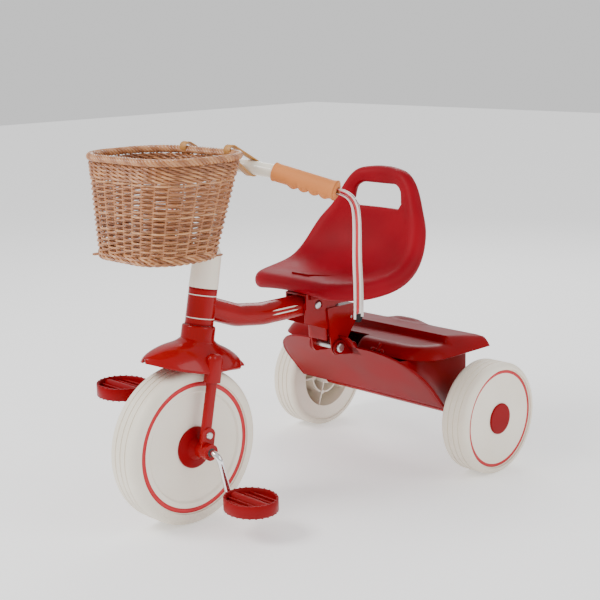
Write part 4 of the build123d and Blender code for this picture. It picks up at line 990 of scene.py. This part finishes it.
# %% Seat shell
SEAT_HEIGHT = 352.0
SEAT_BACK_ZERO = HINGE.y / MM
SEAT_SECTIONS = [
    ((-88, 13), (98, -85, 12)),
    ((-56, 12), (121, -52, 10)),
    ((-15, 4), (134, -10, 9)),
    ((30, 0), (138, 35, 14)),
    ((75, 8), (136, 70, 33)),
    ((110, 35), (124, 98, 72)),
    ((130, 82), (104, 117, 101)),
    ((137, 132), (82, 129.5, 144)),
    ((139, 171), (46, 136, 171)),
]
EDGE_POWER = 2.6
FRONT_DROP = 4.0
ROLL_INSET = 21.0
ROLL = ((0, 0), (6, 1.0), (11, 4.2), (14, 9.5), (14.8, 15.5), (13.6, 21), (10.4, 25), (6.5, 27))
HOLE_ROLL = ((0, 0), (2.6, 1.0), (4.6, 3.6), (5.2, 8), (4.6, 12))
FLAT_UNDER = 8.0
SLOT_HALF = (54.0, 20.5)
SLOT_HEIGHT = SEAT_HEIGHT + 125.5
SLOT_ROOM = 5.0


def seat_point(row, u):
    """A point of the bucket, by its place up the sections and across from -1 to 1."""
    last = len(SEAT_SECTIONS) - 1
    row = clamp(row, 0.0, float(last))
    i = min(int(row), last - 1)
    part = row - i
    values = []
    flat = [(mid[0], mid[1], side[0], side[1], side[2]) for mid, side in SEAT_SECTIONS]
    for k in range(5):
        p0, p1 = flat[max(i - 1, 0)][k], flat[i][k]
        p2, p3 = flat[i + 1][k], flat[min(i + 2, last)][k]
        values.append(0.5 * (2 * p1 + (p2 - p0) * part + (2 * p0 - 5 * p1 + 4 * p2 - p3) * part ** 2
                             + (3 * p1 - p0 - 3 * p2 + p3) * part ** 3))
    mid_back, mid_up, aside, edge_back, edge_up = values
    lift = abs(u) ** EDGE_POWER
    back = mid_back + (edge_back - mid_back) * lift
    up = mid_up + (edge_up - mid_up) * lift
    inset = (aside - ROLL_INSET) / aside
    up -= FRONT_DROP * max(0.0, 1 - row / 2.5)
    return Vector((aside * u * inset, SEAT_BACK_ZERO + back, SEAT_HEIGHT + up)) * MM


def seat_net():
    """Points and faces of the bucket, with the block of the hand slot left out."""
    columns, rows = 24, 32
    span = len(SEAT_SECTIONS) - 1
    points = []
    for i in range(rows + 1):
        row = 0.36 + (span - 0.66) * i / rows
        for j in range(columns + 1):
            u = -1 + 2 * j / columns
            arch = 0.34 * abs(u) ** 3 * (i / rows) ** 5
            points.append(seat_point(row - arch, u))
    keep = []
    for i, j in ((i, j) for i in range(rows) for j in range(columns)):
        corners = [i * (columns + 1) + j, i * (columns + 1) + j + 1,
                   (i + 1) * (columns + 1) + j + 1, (i + 1) * (columns + 1) + j]
        centre = sum((points[c] for c in corners), Vector()) / 4
        x = abs(centre.x / MM)
        z = centre.z / MM - SLOT_HEIGHT
        over = max(0.0, x - (SLOT_HALF[0] - SLOT_HALF[1]))
        if centre.y / MM > SEAT_BACK_ZERO + 100 and math.hypot(over, z) < SLOT_HALF[1] + SLOT_ROOM:
            continue
        keep.append(tuple(corners))
    return points, keep


def slot_snap(place):
    """Where a point of the slot's ragged edge belongs on the slot's outline: x and height."""
    x, z = place.x / MM, place.z / MM - SLOT_HEIGHT
    radius = SLOT_HALF[1] if z > 0 else FLAT_UNDER
    straight = SLOT_HALF[0] - radius
    low = 0.0 if z > 0 else radius - SLOT_HALF[1]
    core = Vector((clamp(x, -straight, straight), clamp(z, low, 0.0)))
    away = Vector((x, z)) - core
    if away.length < 0.01:
        away = Vector((0, z))
    target = core + away.normalized() * (radius + SLOT_ROOM)
    return target.x * MM, (target.y + SLOT_HEIGHT) * MM


def boundary_loops(bm):
    """The closed loops of edge points, each in order."""
    edges = [edge for edge in bm.edges if edge.is_boundary]
    links = {}
    for edge in edges:
        for a, b in (edge.verts, reversed(edge.verts)):
            links.setdefault(a, []).append(b)
    loops, seen = [], set()
    for start in links:
        if start in seen:
            continue
        loop, here, before = [], start, None
        while here not in seen:
            seen.add(here)
            loop.append(here)
            onward = [v for v in links[here] if v is not before and v not in seen]
            before = here
            here = onward[0] if onward else start
        loops.append(loop)
    return loops


def roll_edge(bm, loop, profile):
    """Carry a sheet's edge out and down along a profile; it hangs deeper at the sides."""
    bm.normal_update()
    count = len(loop)
    outs, downs = [], []
    for i, vertex in enumerate(loop):
        along = (loop[(i + 1) % count].co - loop[i - 1].co).normalized()
        normal = sum((face.normal for face in vertex.link_faces), Vector()).normalized()
        out = along.cross(normal).normalized()
        centres = [face.calc_center_median() for face in vertex.link_faces]
        inner = sum(centres, Vector()) / len(centres)
        if out.dot(vertex.co - inner) < 0:
            out = -out
        outs.append(out)
        downs.append(-normal)
    ring = list(loop)
    for out_mm, down_mm in profile[1:]:
        fresh = []
        for i, vertex in enumerate(loop):
            deep = down_mm * (0.9 + 0.3 * min(1.0, (vertex.co.x / 0.11) ** 2))
            place = vertex.co + (outs[i] * out_mm + downs[i] * deep) * MM
            fresh.append(bm.verts.new(place))
        for i in range(count):
            n = (i + 1) % count
            bm.faces.new((ring[i], ring[n], fresh[n], fresh[i]))
        ring = fresh


def smooth_loop(loop, times):
    """Even out a ragged edge."""
    for _ in range(times):
        moved = []
        for i, vertex in enumerate(loop):
            moved.append((loop[i - 1].co + loop[(i + 1) % len(loop)].co + vertex.co * 2) / 4)
        for vertex, place in zip(loop, moved):
            vertex.co = place


def seat_mesh():
    """The net as a mesh, with a clean hand slot and both edges rolled."""
    points, faces = seat_net()
    seat = new_piece("bucket_seat", points, faces, "seat")
    bm = bmesh.new()
    bm.from_mesh(seat.data)
    bmesh.ops.delete(bm, geom=[v for v in bm.verts if not v.link_faces], context="VERTS")
    bmesh.ops.recalc_face_normals(bm, faces=bm.faces)
    floor_face = min(bm.faces, key=lambda f: (f.calc_center_median() - points[12 * 25 + 12]).length)
    if floor_face.normal.z < 0:
        bmesh.ops.reverse_faces(bm, faces=bm.faces)
    loops = sorted(boundary_loops(bm), key=len)
    hole, rim = loops[0], loops[-1]
    for vertex in hole:
        vertex.co.x, vertex.co.z = slot_snap(vertex.co)
        vertex.co.y = back_depth(vertex.co.x, vertex.co.z)
    smooth_loop(rim, 2)
    roll_edge(bm, rim, ROLL)
    roll_edge(bm, hole, HOLE_ROLL)
    bm.to_mesh(seat.data)
    bm.free()
    seat.data.update()
    return seat


def back_depth(x, z):
    """How far back the seat back stands at a height and a distance from the middle."""
    places = []
    for i in range(60):
        row = 5.5 + 2.5 * i / 59
        u = clamp(x / max(1e-6, abs(seat_point(row, 1).x)), -1.0)
        places.append(seat_point(row, u))
    return min(places, key=lambda place: abs(place.z - z)).y


seat = seat_mesh()
thicken(seat, 0.0028, levels=2, offset=-1.0)
dress(seat, "seat_red")
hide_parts("seat_shell", "seat_screws")
print("seat faces", len(seat.data.polygons))


def pan_mark():
    """The short slot moulded in the pan, as a shallow lens of darker red: painted shade where the slot's hollow
    would be.
    """
    place = seat_point(1.85, 0) - Vector((0, 0, 0.5 * MM))
    points = []
    for ring_share in (0.02, 0.35, 0.7, 0.9, 1.0):
        for k in range(32):
            turn = 2 * math.pi * k / 32
            offset = Vector((13 * math.cos(turn) * ring_share, 2.6 * math.sin(turn) * ring_share,
                             0.9 * math.sqrt(max(0.0, 1 - ring_share ** 2))))
            points.append(place + offset * MM)
    faces = grid_faces(5, 32, close_columns=True)
    faces.append(tuple(range(4 * 32, 5 * 32)))
    faces.append(tuple(range(32)))
    return outward(new_piece("seat_pan_mark", points, faces, "seat"))


# the lens wears painted shade in place of the slot's hollow
dress(pan_mark(), "pan_mark")

# %% [markdown]
# The rear bin is a deep moulding. Its front is a flat arched apron with a crisp edge; behind that edge
# the wall scoops in to the box. Each level of the wall is one outline: across the apron, round the
# scoop, along the side and over the back. Two ears reach forward to the fold bolt.

# %% Bin
APRON_FOOT = (195.0, 120.0)
APRON_TOP = (104.1, 226.0)
APRON_HALF = 177.0
APRON_TOP_HALF = 60.2
BOX_HALF = 148.0
BOX_BACK = 292.6
BIN_RIM = 214.6
BOX_CORNER = 10.0
SCOOP = 62.0
WALL = 2.6
FLANGE_INNER, FLANGE_OUTER = 25.6, 51.4


def apron_half_width(share):
    """Half width of the arched apron at a share of its height."""
    if share <= 0.33:
        return APRON_HALF
    rise = min(1.0, (share - 0.33) / 0.67)
    return APRON_TOP_HALF + (APRON_HALF - APRON_TOP_HALF) * (1 - rise ** 2.4) ** (1 / 2.4)


def apron_point(share, x):
    y = APRON_FOOT[0] + (APRON_TOP[0] - APRON_FOOT[0]) * share
    z = APRON_FOOT[1] + (APRON_TOP[1] - APRON_FOOT[1]) * share
    return Vector((x, y, z)) * MM


def apron_sheet():
    rows, across = 33, 25
    points = []
    for i in range(rows):
        share = math.sin(math.pi / 2 * i / (rows - 1))
        half = apron_half_width(share)
        for j in range(across):
            points.append(apron_point(share, half * (-1 + 2 * j / (across - 1))))
    return points, grid_faces(rows, across)


def thicken_back(sheet):
    """Thicken a front sheet away from the viewer, so that its face stays where it is."""
    towards_front = sheet.data.polygons[0].normal.y < 0
    return thicken(sheet, 0.003, offset=-1.0 if towards_front else 1.0, bevel=0.0008)


points, faces = apron_sheet()
apron = thicken_back(outward(new_piece("bin_apron", points, faces, "rear_frame")))


def bezier(a, b, c, t):
    return a * (1 - t) ** 2 + b * 2 * t * (1 - t) + c * t * t


def box_level(z):
    """Half of the wall's outline at one height, from the apron's edge to the middle of the back."""
    share = (z - APRON_FOOT[1]) / (APRON_TOP[1] - APRON_FOOT[1])
    front = APRON_FOOT[0] + (APRON_TOP[0] - APRON_FOOT[0]) * share + 1.5
    half = apron_half_width(share) - 0.8
    start = Vector((half, front))
    pull = Vector((BOX_HALF + 0.12 * (half - BOX_HALF), front + 13))
    end = Vector((BOX_HALF, front + SCOOP))
    outline = [bezier(start, pull, end, k / 14) for k in range(15)]
    corner = Vector((BOX_HALF - BOX_CORNER, BOX_BACK - BOX_CORNER))
    outline += [Vector((BOX_HALF, end.y + (corner.y - end.y) * k / 4)) for k in range(1, 5)]
    for k in range(1, 7):
        turn = math.pi / 2 * k / 6
        outline.append(corner + Vector((math.cos(turn), math.sin(turn))) * BOX_CORNER)
    outline += [Vector((corner.x * (1 - k / 5), BOX_BACK)) for k in range(1, 6)]
    return [Vector((p.x, p.y, z)) * MM for p in outline]


def box_wall():
    """The box's wall from bottom to rim, with its floor."""
    levels = 20
    points = []
    for i in range(levels):
        z = APRON_FOOT[1] + (BIN_RIM - APRON_FOOT[1]) * i / (levels - 1)
        half = box_level(z)
        left = [Vector((-p.x, p.y, p.z)) for p in half[-2::-1]]
        points += half + left
    across = len(points) // levels
    faces = grid_faces(levels, across)
    faces.append(tuple(range(across)))
    return points, faces


points, faces = box_wall()
box = outward(new_piece("bin_box", points, faces, "rear_frame"))
thicken(box, WALL * MM, offset=-1.0, bevel=0.0009)
for piece in (apron, box):
    dress(piece, "red_plastic")
    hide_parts("storage_bin")

EAR_FROM = (HINGE.y / MM, HINGE.z / MM, 13.0)
EAR_TO = (HINGE.y / MM + 34.0, HINGE.z / MM - 7.0, 11.0)
EAR_X = (25.6, 30.2)


def plate_between(name, outline, x_from, x_to, edge=0.9):
    """A flat plate with rounded edges, from a closed (y, z) outline."""
    points = []
    middle = sum(outline, Vector((0, 0))) / len(outline)
    for x, inset in ((x_from, edge), (x_from + edge, 0), (x_to - edge, 0), (x_to, edge)):
        for p in outline:
            spot = p + (middle - p).normalized() * inset
            points.append(Vector((x, spot.x, spot.y)) * MM)
    count = len(outline)
    faces = grid_faces(4, count, close_columns=True)
    faces.append(tuple(range(count)))
    faces.append(tuple(3 * count + k for k in range(count)))
    piece = outward(new_piece(name, points, faces, "rear_frame"))
    piece.data.set_sharp_from_angle(angle=math.radians(40))
    return piece


ear_outline = belt_path([EAR_FROM, EAR_TO], 2.5)
for side, word in SIDES:
    ear = plate_between(f"yoke_ear_{word}", ear_outline, side * EAR_X[0], side * EAR_X[1],
                        side * 0.9)
    dress(ear, "red_plastic")
    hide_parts("storage_bin")


def yoke_flange(side):
    """The flat cheek that carries the apron up to the fold bolt."""
    points = []
    for i in range(13):
        slope = 0.84 + 0.36 * i / 12
        narrow = max(0.0, (slope - 1.0) / 0.2)
        outer = FLANGE_OUTER - 7.0 * narrow ** 3
        for j in range(7):
            x = FLANGE_INNER + (outer - FLANGE_INNER) * j / 6
            points.append(apron_point(slope, side * x))
    return points, grid_faces(13, 7)


for side, word in SIDES:
    points, faces = yoke_flange(side)
    flange = outward(new_piece(f"yoke_flange_{word}", points, faces, "rear_frame"))
    dress(thicken_back(flange), "red_plastic")
    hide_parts("storage_bin")

LID_PIN = Vector(joints["lid_open"]["pos_m"]) / MM


def pin_eye(weave, eye, stem, stem_radius, half_length, radius):
    """An eye round a pin, on a round stem."""
    half = Vector((half_length, 0, 0))
    weave.rod([place * MM for place in stem], stem_radius, 12)
    weave.rod([(eye - half) * MM, (eye + half) * MM], radius, 20)


knuckles = Weave()
for x in (-82.5, -62.5, 62.5, 82.5):
    foot = Vector((x, LID_PIN.y - 6.5, LID_PIN.z - 13))
    eye = Vector((x, LID_PIN.y, LID_PIN.z))
    pin_eye(knuckles, eye, (foot, eye), 4.4, 4.4, 4.9)
knuckle_piece = dress(knuckles.piece("lid_knuckles", "rear_frame", "red_plastic"), "red_plastic")
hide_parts("storage_bin")
print("bin box faces", len(box.data.polygons))

# %% [markdown]
# The lid is a shallow dome over the bin. Its height depends on how far a point is from the edge, so the
# skirt rolls over evenly along the front, round the corners and down the sides; the rear half steps up
# to a ridge and slopes away behind it, and a lip at the back takes a finger. A notch in front clears
# the lock lever.

# %% Lid
LID_FRONT = 131.1
LID_BACK = 306.1
LID_HALF = 186.0
LID_CORNER = 60.0
LID_EDGE = 215.0
LID_RISE = 20.0
LID_ROLL = 28.0
RIDGE_RUN = 6.0
RIDGE_RISE = 11.0
NOTCH_HALF = 25.0
NOTCH_BACK = 167.6
RIDGE_FRONT = 208.0
RIDGE_FALL = 0.15


# where the lid's lines of points run: close together where it bends
LID_ACROSS = [0, 8, 16, NOTCH_HALF, 32, 40, 50, 60, 72, 84, 96, 108, 118, 126, 134, 141, 148, 154, 160,
              165, 169.5, 173.5, 177, 180, 182.5, 184.5, LID_HALF]
LID_DEPTHS = [0, 1.2, 3, 5.5, 8.5, 12, 16, 20.5, 25, 29, NOTCH_BACK - LID_FRONT, 42, 48, 56, 64, 70, 73,
              75, 77, 79, 81, 83, 86, 92, 100, 110, 120, 130, 140, 150, 156, 161, 165, 168, 170.5, 172.8,
              174, 175]


def lid_front_at(x):
    """Where the lid's front edge runs, with its round corners."""
    over = max(0.0, abs(x) - (LID_HALF - LID_CORNER))
    return LID_FRONT + LID_CORNER - math.sqrt(max(0.0, LID_CORNER ** 2 - over ** 2))


def smooth_step(low, high, value):
    t = clamp((value - low) / (high - low))
    return t * t * (3 - 2 * t)


def lid_height(x, y):
    """The lid's outer height, from how far in a point is and where it is fore and aft."""
    along_x = abs(x) - (LID_HALF - LID_CORNER)
    along_y = (LID_FRONT + LID_CORNER) - y
    if along_x > 0 and along_y > 0:
        inside = LID_CORNER - math.hypot(along_x, along_y)
    else:
        inside = LID_CORNER - max(along_x, along_y)
    inside = clamp(inside / LID_ROLL)
    crown = LID_RISE * (1 - (1 - inside) ** 2.3)
    flat = smooth_step(0.45, 0.9, inside)
    ridge = smooth_step(RIDGE_FRONT, RIDGE_FRONT + RIDGE_RUN, y) * flat
    ridge *= RIDGE_RISE - RIDGE_FALL * max(0.0, y - RIDGE_FRONT - RIDGE_RUN)
    groove = 1.6 * math.exp(-((y - RIDGE_FRONT + 2.5) / 2.4) ** 2) * flat
    rear = 3.0 * smooth_step(LID_BACK - 7, LID_BACK, y) * inside
    lip = 7.0 * math.exp(-(x / 40.0) ** 4) * smooth_step(LID_BACK - 22, LID_BACK - 6, y)
    return LID_EDGE + crown + ridge - groove - rear + lip


def lid_sheet():
    xs = [-x for x in LID_ACROSS[:0:-1]] + LID_ACROSS
    points = []
    for depth in LID_DEPTHS:
        for x in xs:
            front = lid_front_at(x)
            y = front + (LID_BACK - front) * depth / (LID_BACK - LID_FRONT)
            points.append(Vector((x, y, lid_height(x, y))) * MM)
    columns = len(xs)
    faces = []
    for face in grid_faces(len(LID_DEPTHS), columns):
        centre = sum((points[k] for k in face), Vector()) / 4 / MM
        if abs(centre.x) < NOTCH_HALF and centre.y < NOTCH_BACK:
            continue
        faces.append(face)
    return points, faces


points, faces = lid_sheet()
lid = outward(new_piece("bin_lid", points, faces, "lid"))
bm = bmesh.new()
bm.from_mesh(lid.data)
bmesh.ops.delete(bm, geom=[v for v in bm.verts if not v.link_faces], context="VERTS")
if sum(face.normal.z for face in bm.faces) < 0:
    bmesh.ops.reverse_faces(bm, faces=bm.faces)
bm.to_mesh(lid.data)
bm.free()
thicken(lid, 0.0026, offset=-1.0, bevel=0.0007)
dress(lid, "red_plastic")
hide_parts("storage_lid")
lugs = Weave()
for x in (-72.5, 72.5):
    eye = Vector((x, LID_PIN.y, LID_PIN.z))
    roof = Vector((x, LID_PIN.y + 9, LID_PIN.z + 11))
    pin_eye(lugs, eye, (eye, roof), 3.8, 4.9, 4.5)
lug_piece = dress(lugs.piece("lid_lugs", "lid", "red_plastic"), "red_plastic")
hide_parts("storage_lid")
print("lid faces", len(lid.data.polygons))

# %% [markdown]
# Each pedal is a round moulding: a deep rim with small grip nubs along both edges, a floor, a hub round
# the spindle and ribs beside it. It is built level, round the middle of its spindle.

# %% Pedals
PEDAL_HALF = (45.5, 41.0)
PEDAL_TALL = 20.0
PEDAL_NUBS = 26
PEDAL_HUB = 8.4
PEDAL_RIBS = (-0.62, -0.34, 0.34, 0.62)


def oval(turn, inset, height):
    """A point on the pedal's outline, pulled in by an inset."""
    across, deep = (half - inset for half in PEDAL_HALF)
    return Vector((across * math.cos(turn), deep * math.sin(turn), height))


def pedal_piece(word):
    """One pedal: rim and floor in one turned section, then nubs, hub and ribs."""
    middle = Vector(joints[f"pedal_{word}_spin"]["pos_m"])
    half = PEDAL_TALL / 2
    section = ((0.8, -half), (0, -half + 0.9), (0, half - 0.9), (0.8, half), (3.2, half), (4, half - 0.9),
               (4.2, 1.5), (16, 0.6), (30, 0.2), (30, -1.6), (4.2, -2.2), (4, -half + 0.9), (3.2, -half))
    weave = Weave()
    steps = 96
    turns = [2 * math.pi * k / steps for k in range(steps)]
    ring = [middle + oval(turn, *place) * MM for turn in turns for place in section]
    weave.add(ring, grid_faces(steps, len(section), close_rows=True, close_columns=True))
    for sign in (-1, 1):
        disc = [middle + oval(turn, 29.5, 0.2 * sign - 0.7) * MM for turn in turns]
        weave.add(disc, [tuple(range(steps))])
    for k in range(PEDAL_NUBS):
        for height in (-half, half):
            turn = 2 * math.pi * (k + 0.5) / PEDAL_NUBS
            low = oval(turn, 1.9, height * 0.9)
            high = oval(turn, 1.9, height * 1.09)
            weave.rod([middle + low * MM, middle + high * MM], 1.5, 8)
    hub = [middle + Vector((x, 0, 0)) * MM for x in (-41, 41)]
    weave.rod(hub, PEDAL_HUB, 24)
    for share in PEDAL_RIBS:
        y = share * PEDAL_HALF[1]
        reach = PEDAL_HALF[0] * math.sqrt(1 - share * share) - 3.5
        for height in (-3.5, 0, 3.5):
            weave.rod([middle + Vector((x, y, height)) * MM for x in (-reach, reach)], 1.6, 8)
    piece = outward(weave.piece(f"round_pedal_{word}", f"pedal_{word}", "red_plastic"))
    piece.data.set_sharp_from_angle(angle=math.radians(45))
    dress(piece, "red_plastic")
    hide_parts(f"pedal_{word}")
    return piece


for word in ("left", "right"):
    pedal = pedal_piece(word)
print("pedal faces", len(pedal.data.polygons))


# %% [markdown]
# A folded cheek closes the front of the hinge bracket under the backbone, as on the real frame.

# %% Bracket front
CHEEK_FOOT = 243.0
CHEEK_HALF = 21.6
CHEEK_BULGE = 1.0


def bracket_front():
    """A slightly bulged plate between the bracket's sides."""
    low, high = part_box("hinge_bracket")
    front = low.y / MM + 0.5
    top = high.z / MM - 3.5
    points = []
    for i in range(9):
        height = CHEEK_FOOT + (top - CHEEK_FOOT) * i / 8
        bulge = CHEEK_BULGE * math.sin(math.pi * i / 8)
        for j in range(7):
            points.append(Vector((CHEEK_HALF * (j / 3 - 1), front - bulge, height)) * MM)
    sheet = new_piece("bracket_front", points, grid_faces(9, 7), "frame")
    thicken(sheet, 0.0025, offset=0.0, bevel=0.0006)
    return dress(outward(sheet), "red_paint")


print("bracket front", bracket_front().name)

# %% [markdown]
# The wheels carry a thin red line on each side, printed on the moulding, and the frame wears plain
# cream pinstripes. Each line is a ring or band a tenth of a millimetre proud of what it is printed on.

# %% Stripes
# the face it is printed on, its outer radius and its width
FRONT_STRIPE = (27.0, 106.0, 7.2)
REAR_STRIPE = (235.5, 86.0, 5.4)
BACKBONE_HEIGHT = 310.0
BACKBONE_PRINT = 19.12


def stripe_ring(name, body, centre, face, outer, width, slot):
    out = math.copysign(0.12, face)
    outline = [(face, outer), (face + out, outer), (face + out, outer - width), (face, outer - width)]
    return dress(lathe_x(name, outline, centre, body), "stripe")


for side, word in SIDES:
    face, *ring = FRONT_STRIPE
    stripe_ring(f"front_stripe_{word}", "front_wheel", FRONT_AXLE, side * face, *ring, "red_paint")
    face, *ring = REAR_STRIPE
    rear_centre = Vector((0, REAR_AXLE.y, REAR_AXLE.z))
    stripe_ring(f"rear_stripe_{word}", f"rear_wheel_{word}", rear_centre, side * face, *ring, "red_paint")

for index, (low, high) in enumerate(((203.0, 204.6), (239.4, 241.0))):
    outline = [(23.0, low), (23.12, low), (23.12, high), (23.0, high)]
    band = lathe_steering(f"head_pinstripe_{index + 1}", outline)
    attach(band, "frame")
    dress(band, "pinstripe")


def backbone_pinstripe(name, side, low, high, start, end):
    """A band along one side of the straight backbone, tapering to points."""
    points = []
    steps = 40
    middle = (low + high) / 2
    for i in range(steps + 1):
        y = start + (end - start) * i / steps
        taper = min(1.0, 6.0 * min(i, steps - i) / steps)
        half = (high - low) / 2 * taper + 0.02
        for height in (middle - half, middle + half):
            turn = math.asin(height / 19.0)
            x = side * BACKBONE_PRINT * math.cos(turn)
            points.append(Vector((x, y, BACKBONE_HEIGHT + BACKBONE_PRINT * math.sin(turn))) * MM)
    return dress(new_piece(name, points, grid_faces(steps + 1, 2), "frame"), "pinstripe")


for side, word in SIDES:
    backbone_pinstripe(f"backbone_pinstripe_upper_{word}", side, 4.5, 6.5, -62.0, -2.0)
    backbone_pinstripe(f"backbone_pinstripe_lower_{word}", side, -2.0, 0.0, -62.0, -2.0)
print("stripes done")

# %% [markdown]
# The studio is a white floor, a broad soft light high on the viewer's left, a gentler one on the right
# and a pale sky, so the shadows stay light and the lacquer shows long soft highlights.

# %% Studio
def studio_floor():
    mesh = bpy.data.meshes.new("floor")
    size = 8.0
    corners = [(-size, -size, 0), (size, -size, 0), (size, size, 0), (-size, size, 0)]
    mesh.from_pydata(corners, [], [(0, 1, 2, 3)])
    floor = bpy.data.objects.new("studio_floor", mesh)
    bpy.context.scene.collection.objects.link(floor)
    paper = bpy.data.materials.new("white paper")
    paper.use_nodes = True
    shader = paper.node_tree.nodes["Principled BSDF"]
    shader.inputs["Base Color"].default_value = (0.95, 0.95, 0.95, 1)
    shader.inputs["Roughness"].default_value = 0.7
    shader.inputs["Specular IOR Level"].default_value = 0.2
    shader.inputs["Emission Color"].default_value = (1, 1, 1, 1)
    shader.inputs["Emission Strength"].default_value = 0.4
    floor.data.materials.append(paper)
    return floor


def soft_light(name, place, target, width, height, power):
    lamp = bpy.data.lights.new(name, "AREA")
    lamp.shape = "RECTANGLE"
    lamp.size = width
    lamp.size_y = height
    lamp.energy = power
    light = bpy.data.objects.new(name, lamp)
    light.location = place
    light.rotation_euler = (Vector(target) - Vector(place)).to_track_quat("-Z", "Y").to_euler()
    bpy.context.scene.collection.objects.link(light)
    return light


studio_floor()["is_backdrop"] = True
key = soft_light("key", (-0.6, -1.9, 2.2), (0, 0, 0.25), 1.2, 0.9, 52)
fill = soft_light("fill", (2.2, 0.6, 1.6), (0, 0, 0.3), 1.2, 1.2, 16)
back = soft_light("back", (-1.2, 1.8, 1.6), (0, 0, 0.3), 1.4, 0.9, 18)
world = bpy.data.worlds.new("pale sky")
bpy.context.scene.world = world
world.use_nodes = True
world.node_tree.nodes["Background"].inputs["Color"].default_value = (1, 1, 1, 1)
world.node_tree.nodes["Background"].inputs["Strength"].default_value = 0.85
print("lights", [light.name for light in (key, fill, back)])

# %% [markdown]
# The camera stands in front and to the left, a little above the handlebar, with a long lens. It is
# turned about its own line of sight by a degree, as a hand-held one is.

# %% Camera
LENS = 76.03
CAMERA_PLACE = Vector((1.51806, -1.4476, 0.77436))
AZIMUTH = math.radians(45.9723)
ELEVATION = math.radians(12.1844)
ROLL_ANGLE = math.radians(-1.1291)


def add_camera():
    backwards = Vector((math.sin(AZIMUTH) * math.cos(ELEVATION),
                        -math.cos(AZIMUTH) * math.cos(ELEVATION), math.sin(ELEVATION)))
    right = Vector((math.cos(AZIMUTH), math.sin(AZIMUTH), 0))
    up = backwards.cross(right)
    rolled_right = right * math.cos(ROLL_ANGLE) + up * math.sin(ROLL_ANGLE)
    rolled_up = up * math.cos(ROLL_ANGLE) - right * math.sin(ROLL_ANGLE)
    lens = bpy.data.cameras.new("camera")
    lens.lens = LENS
    lens.sensor_width = 36.0
    lens.sensor_fit = "HORIZONTAL"
    camera = bpy.data.objects.new("camera", lens)
    turn = Matrix((rolled_right, rolled_up, backwards)).transposed()
    camera.matrix_world = Matrix.Translation(CAMERA_PLACE) @ turn.to_4x4()
    bpy.context.scene.collection.objects.link(camera)
    bpy.context.scene.camera = camera
    return camera


camera = add_camera()
print("camera at", camera.location)

# %% [markdown]
# Last come the sizes before and after the dressing.

# %% Sizes and finish
def plain(value):
    if isinstance(value, (int, float)):
        return float(value)
    return [plain(item) for item in value]


sizes = {"working_model": plain(cad_box), "dressed": plain(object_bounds())}
print(sizes)
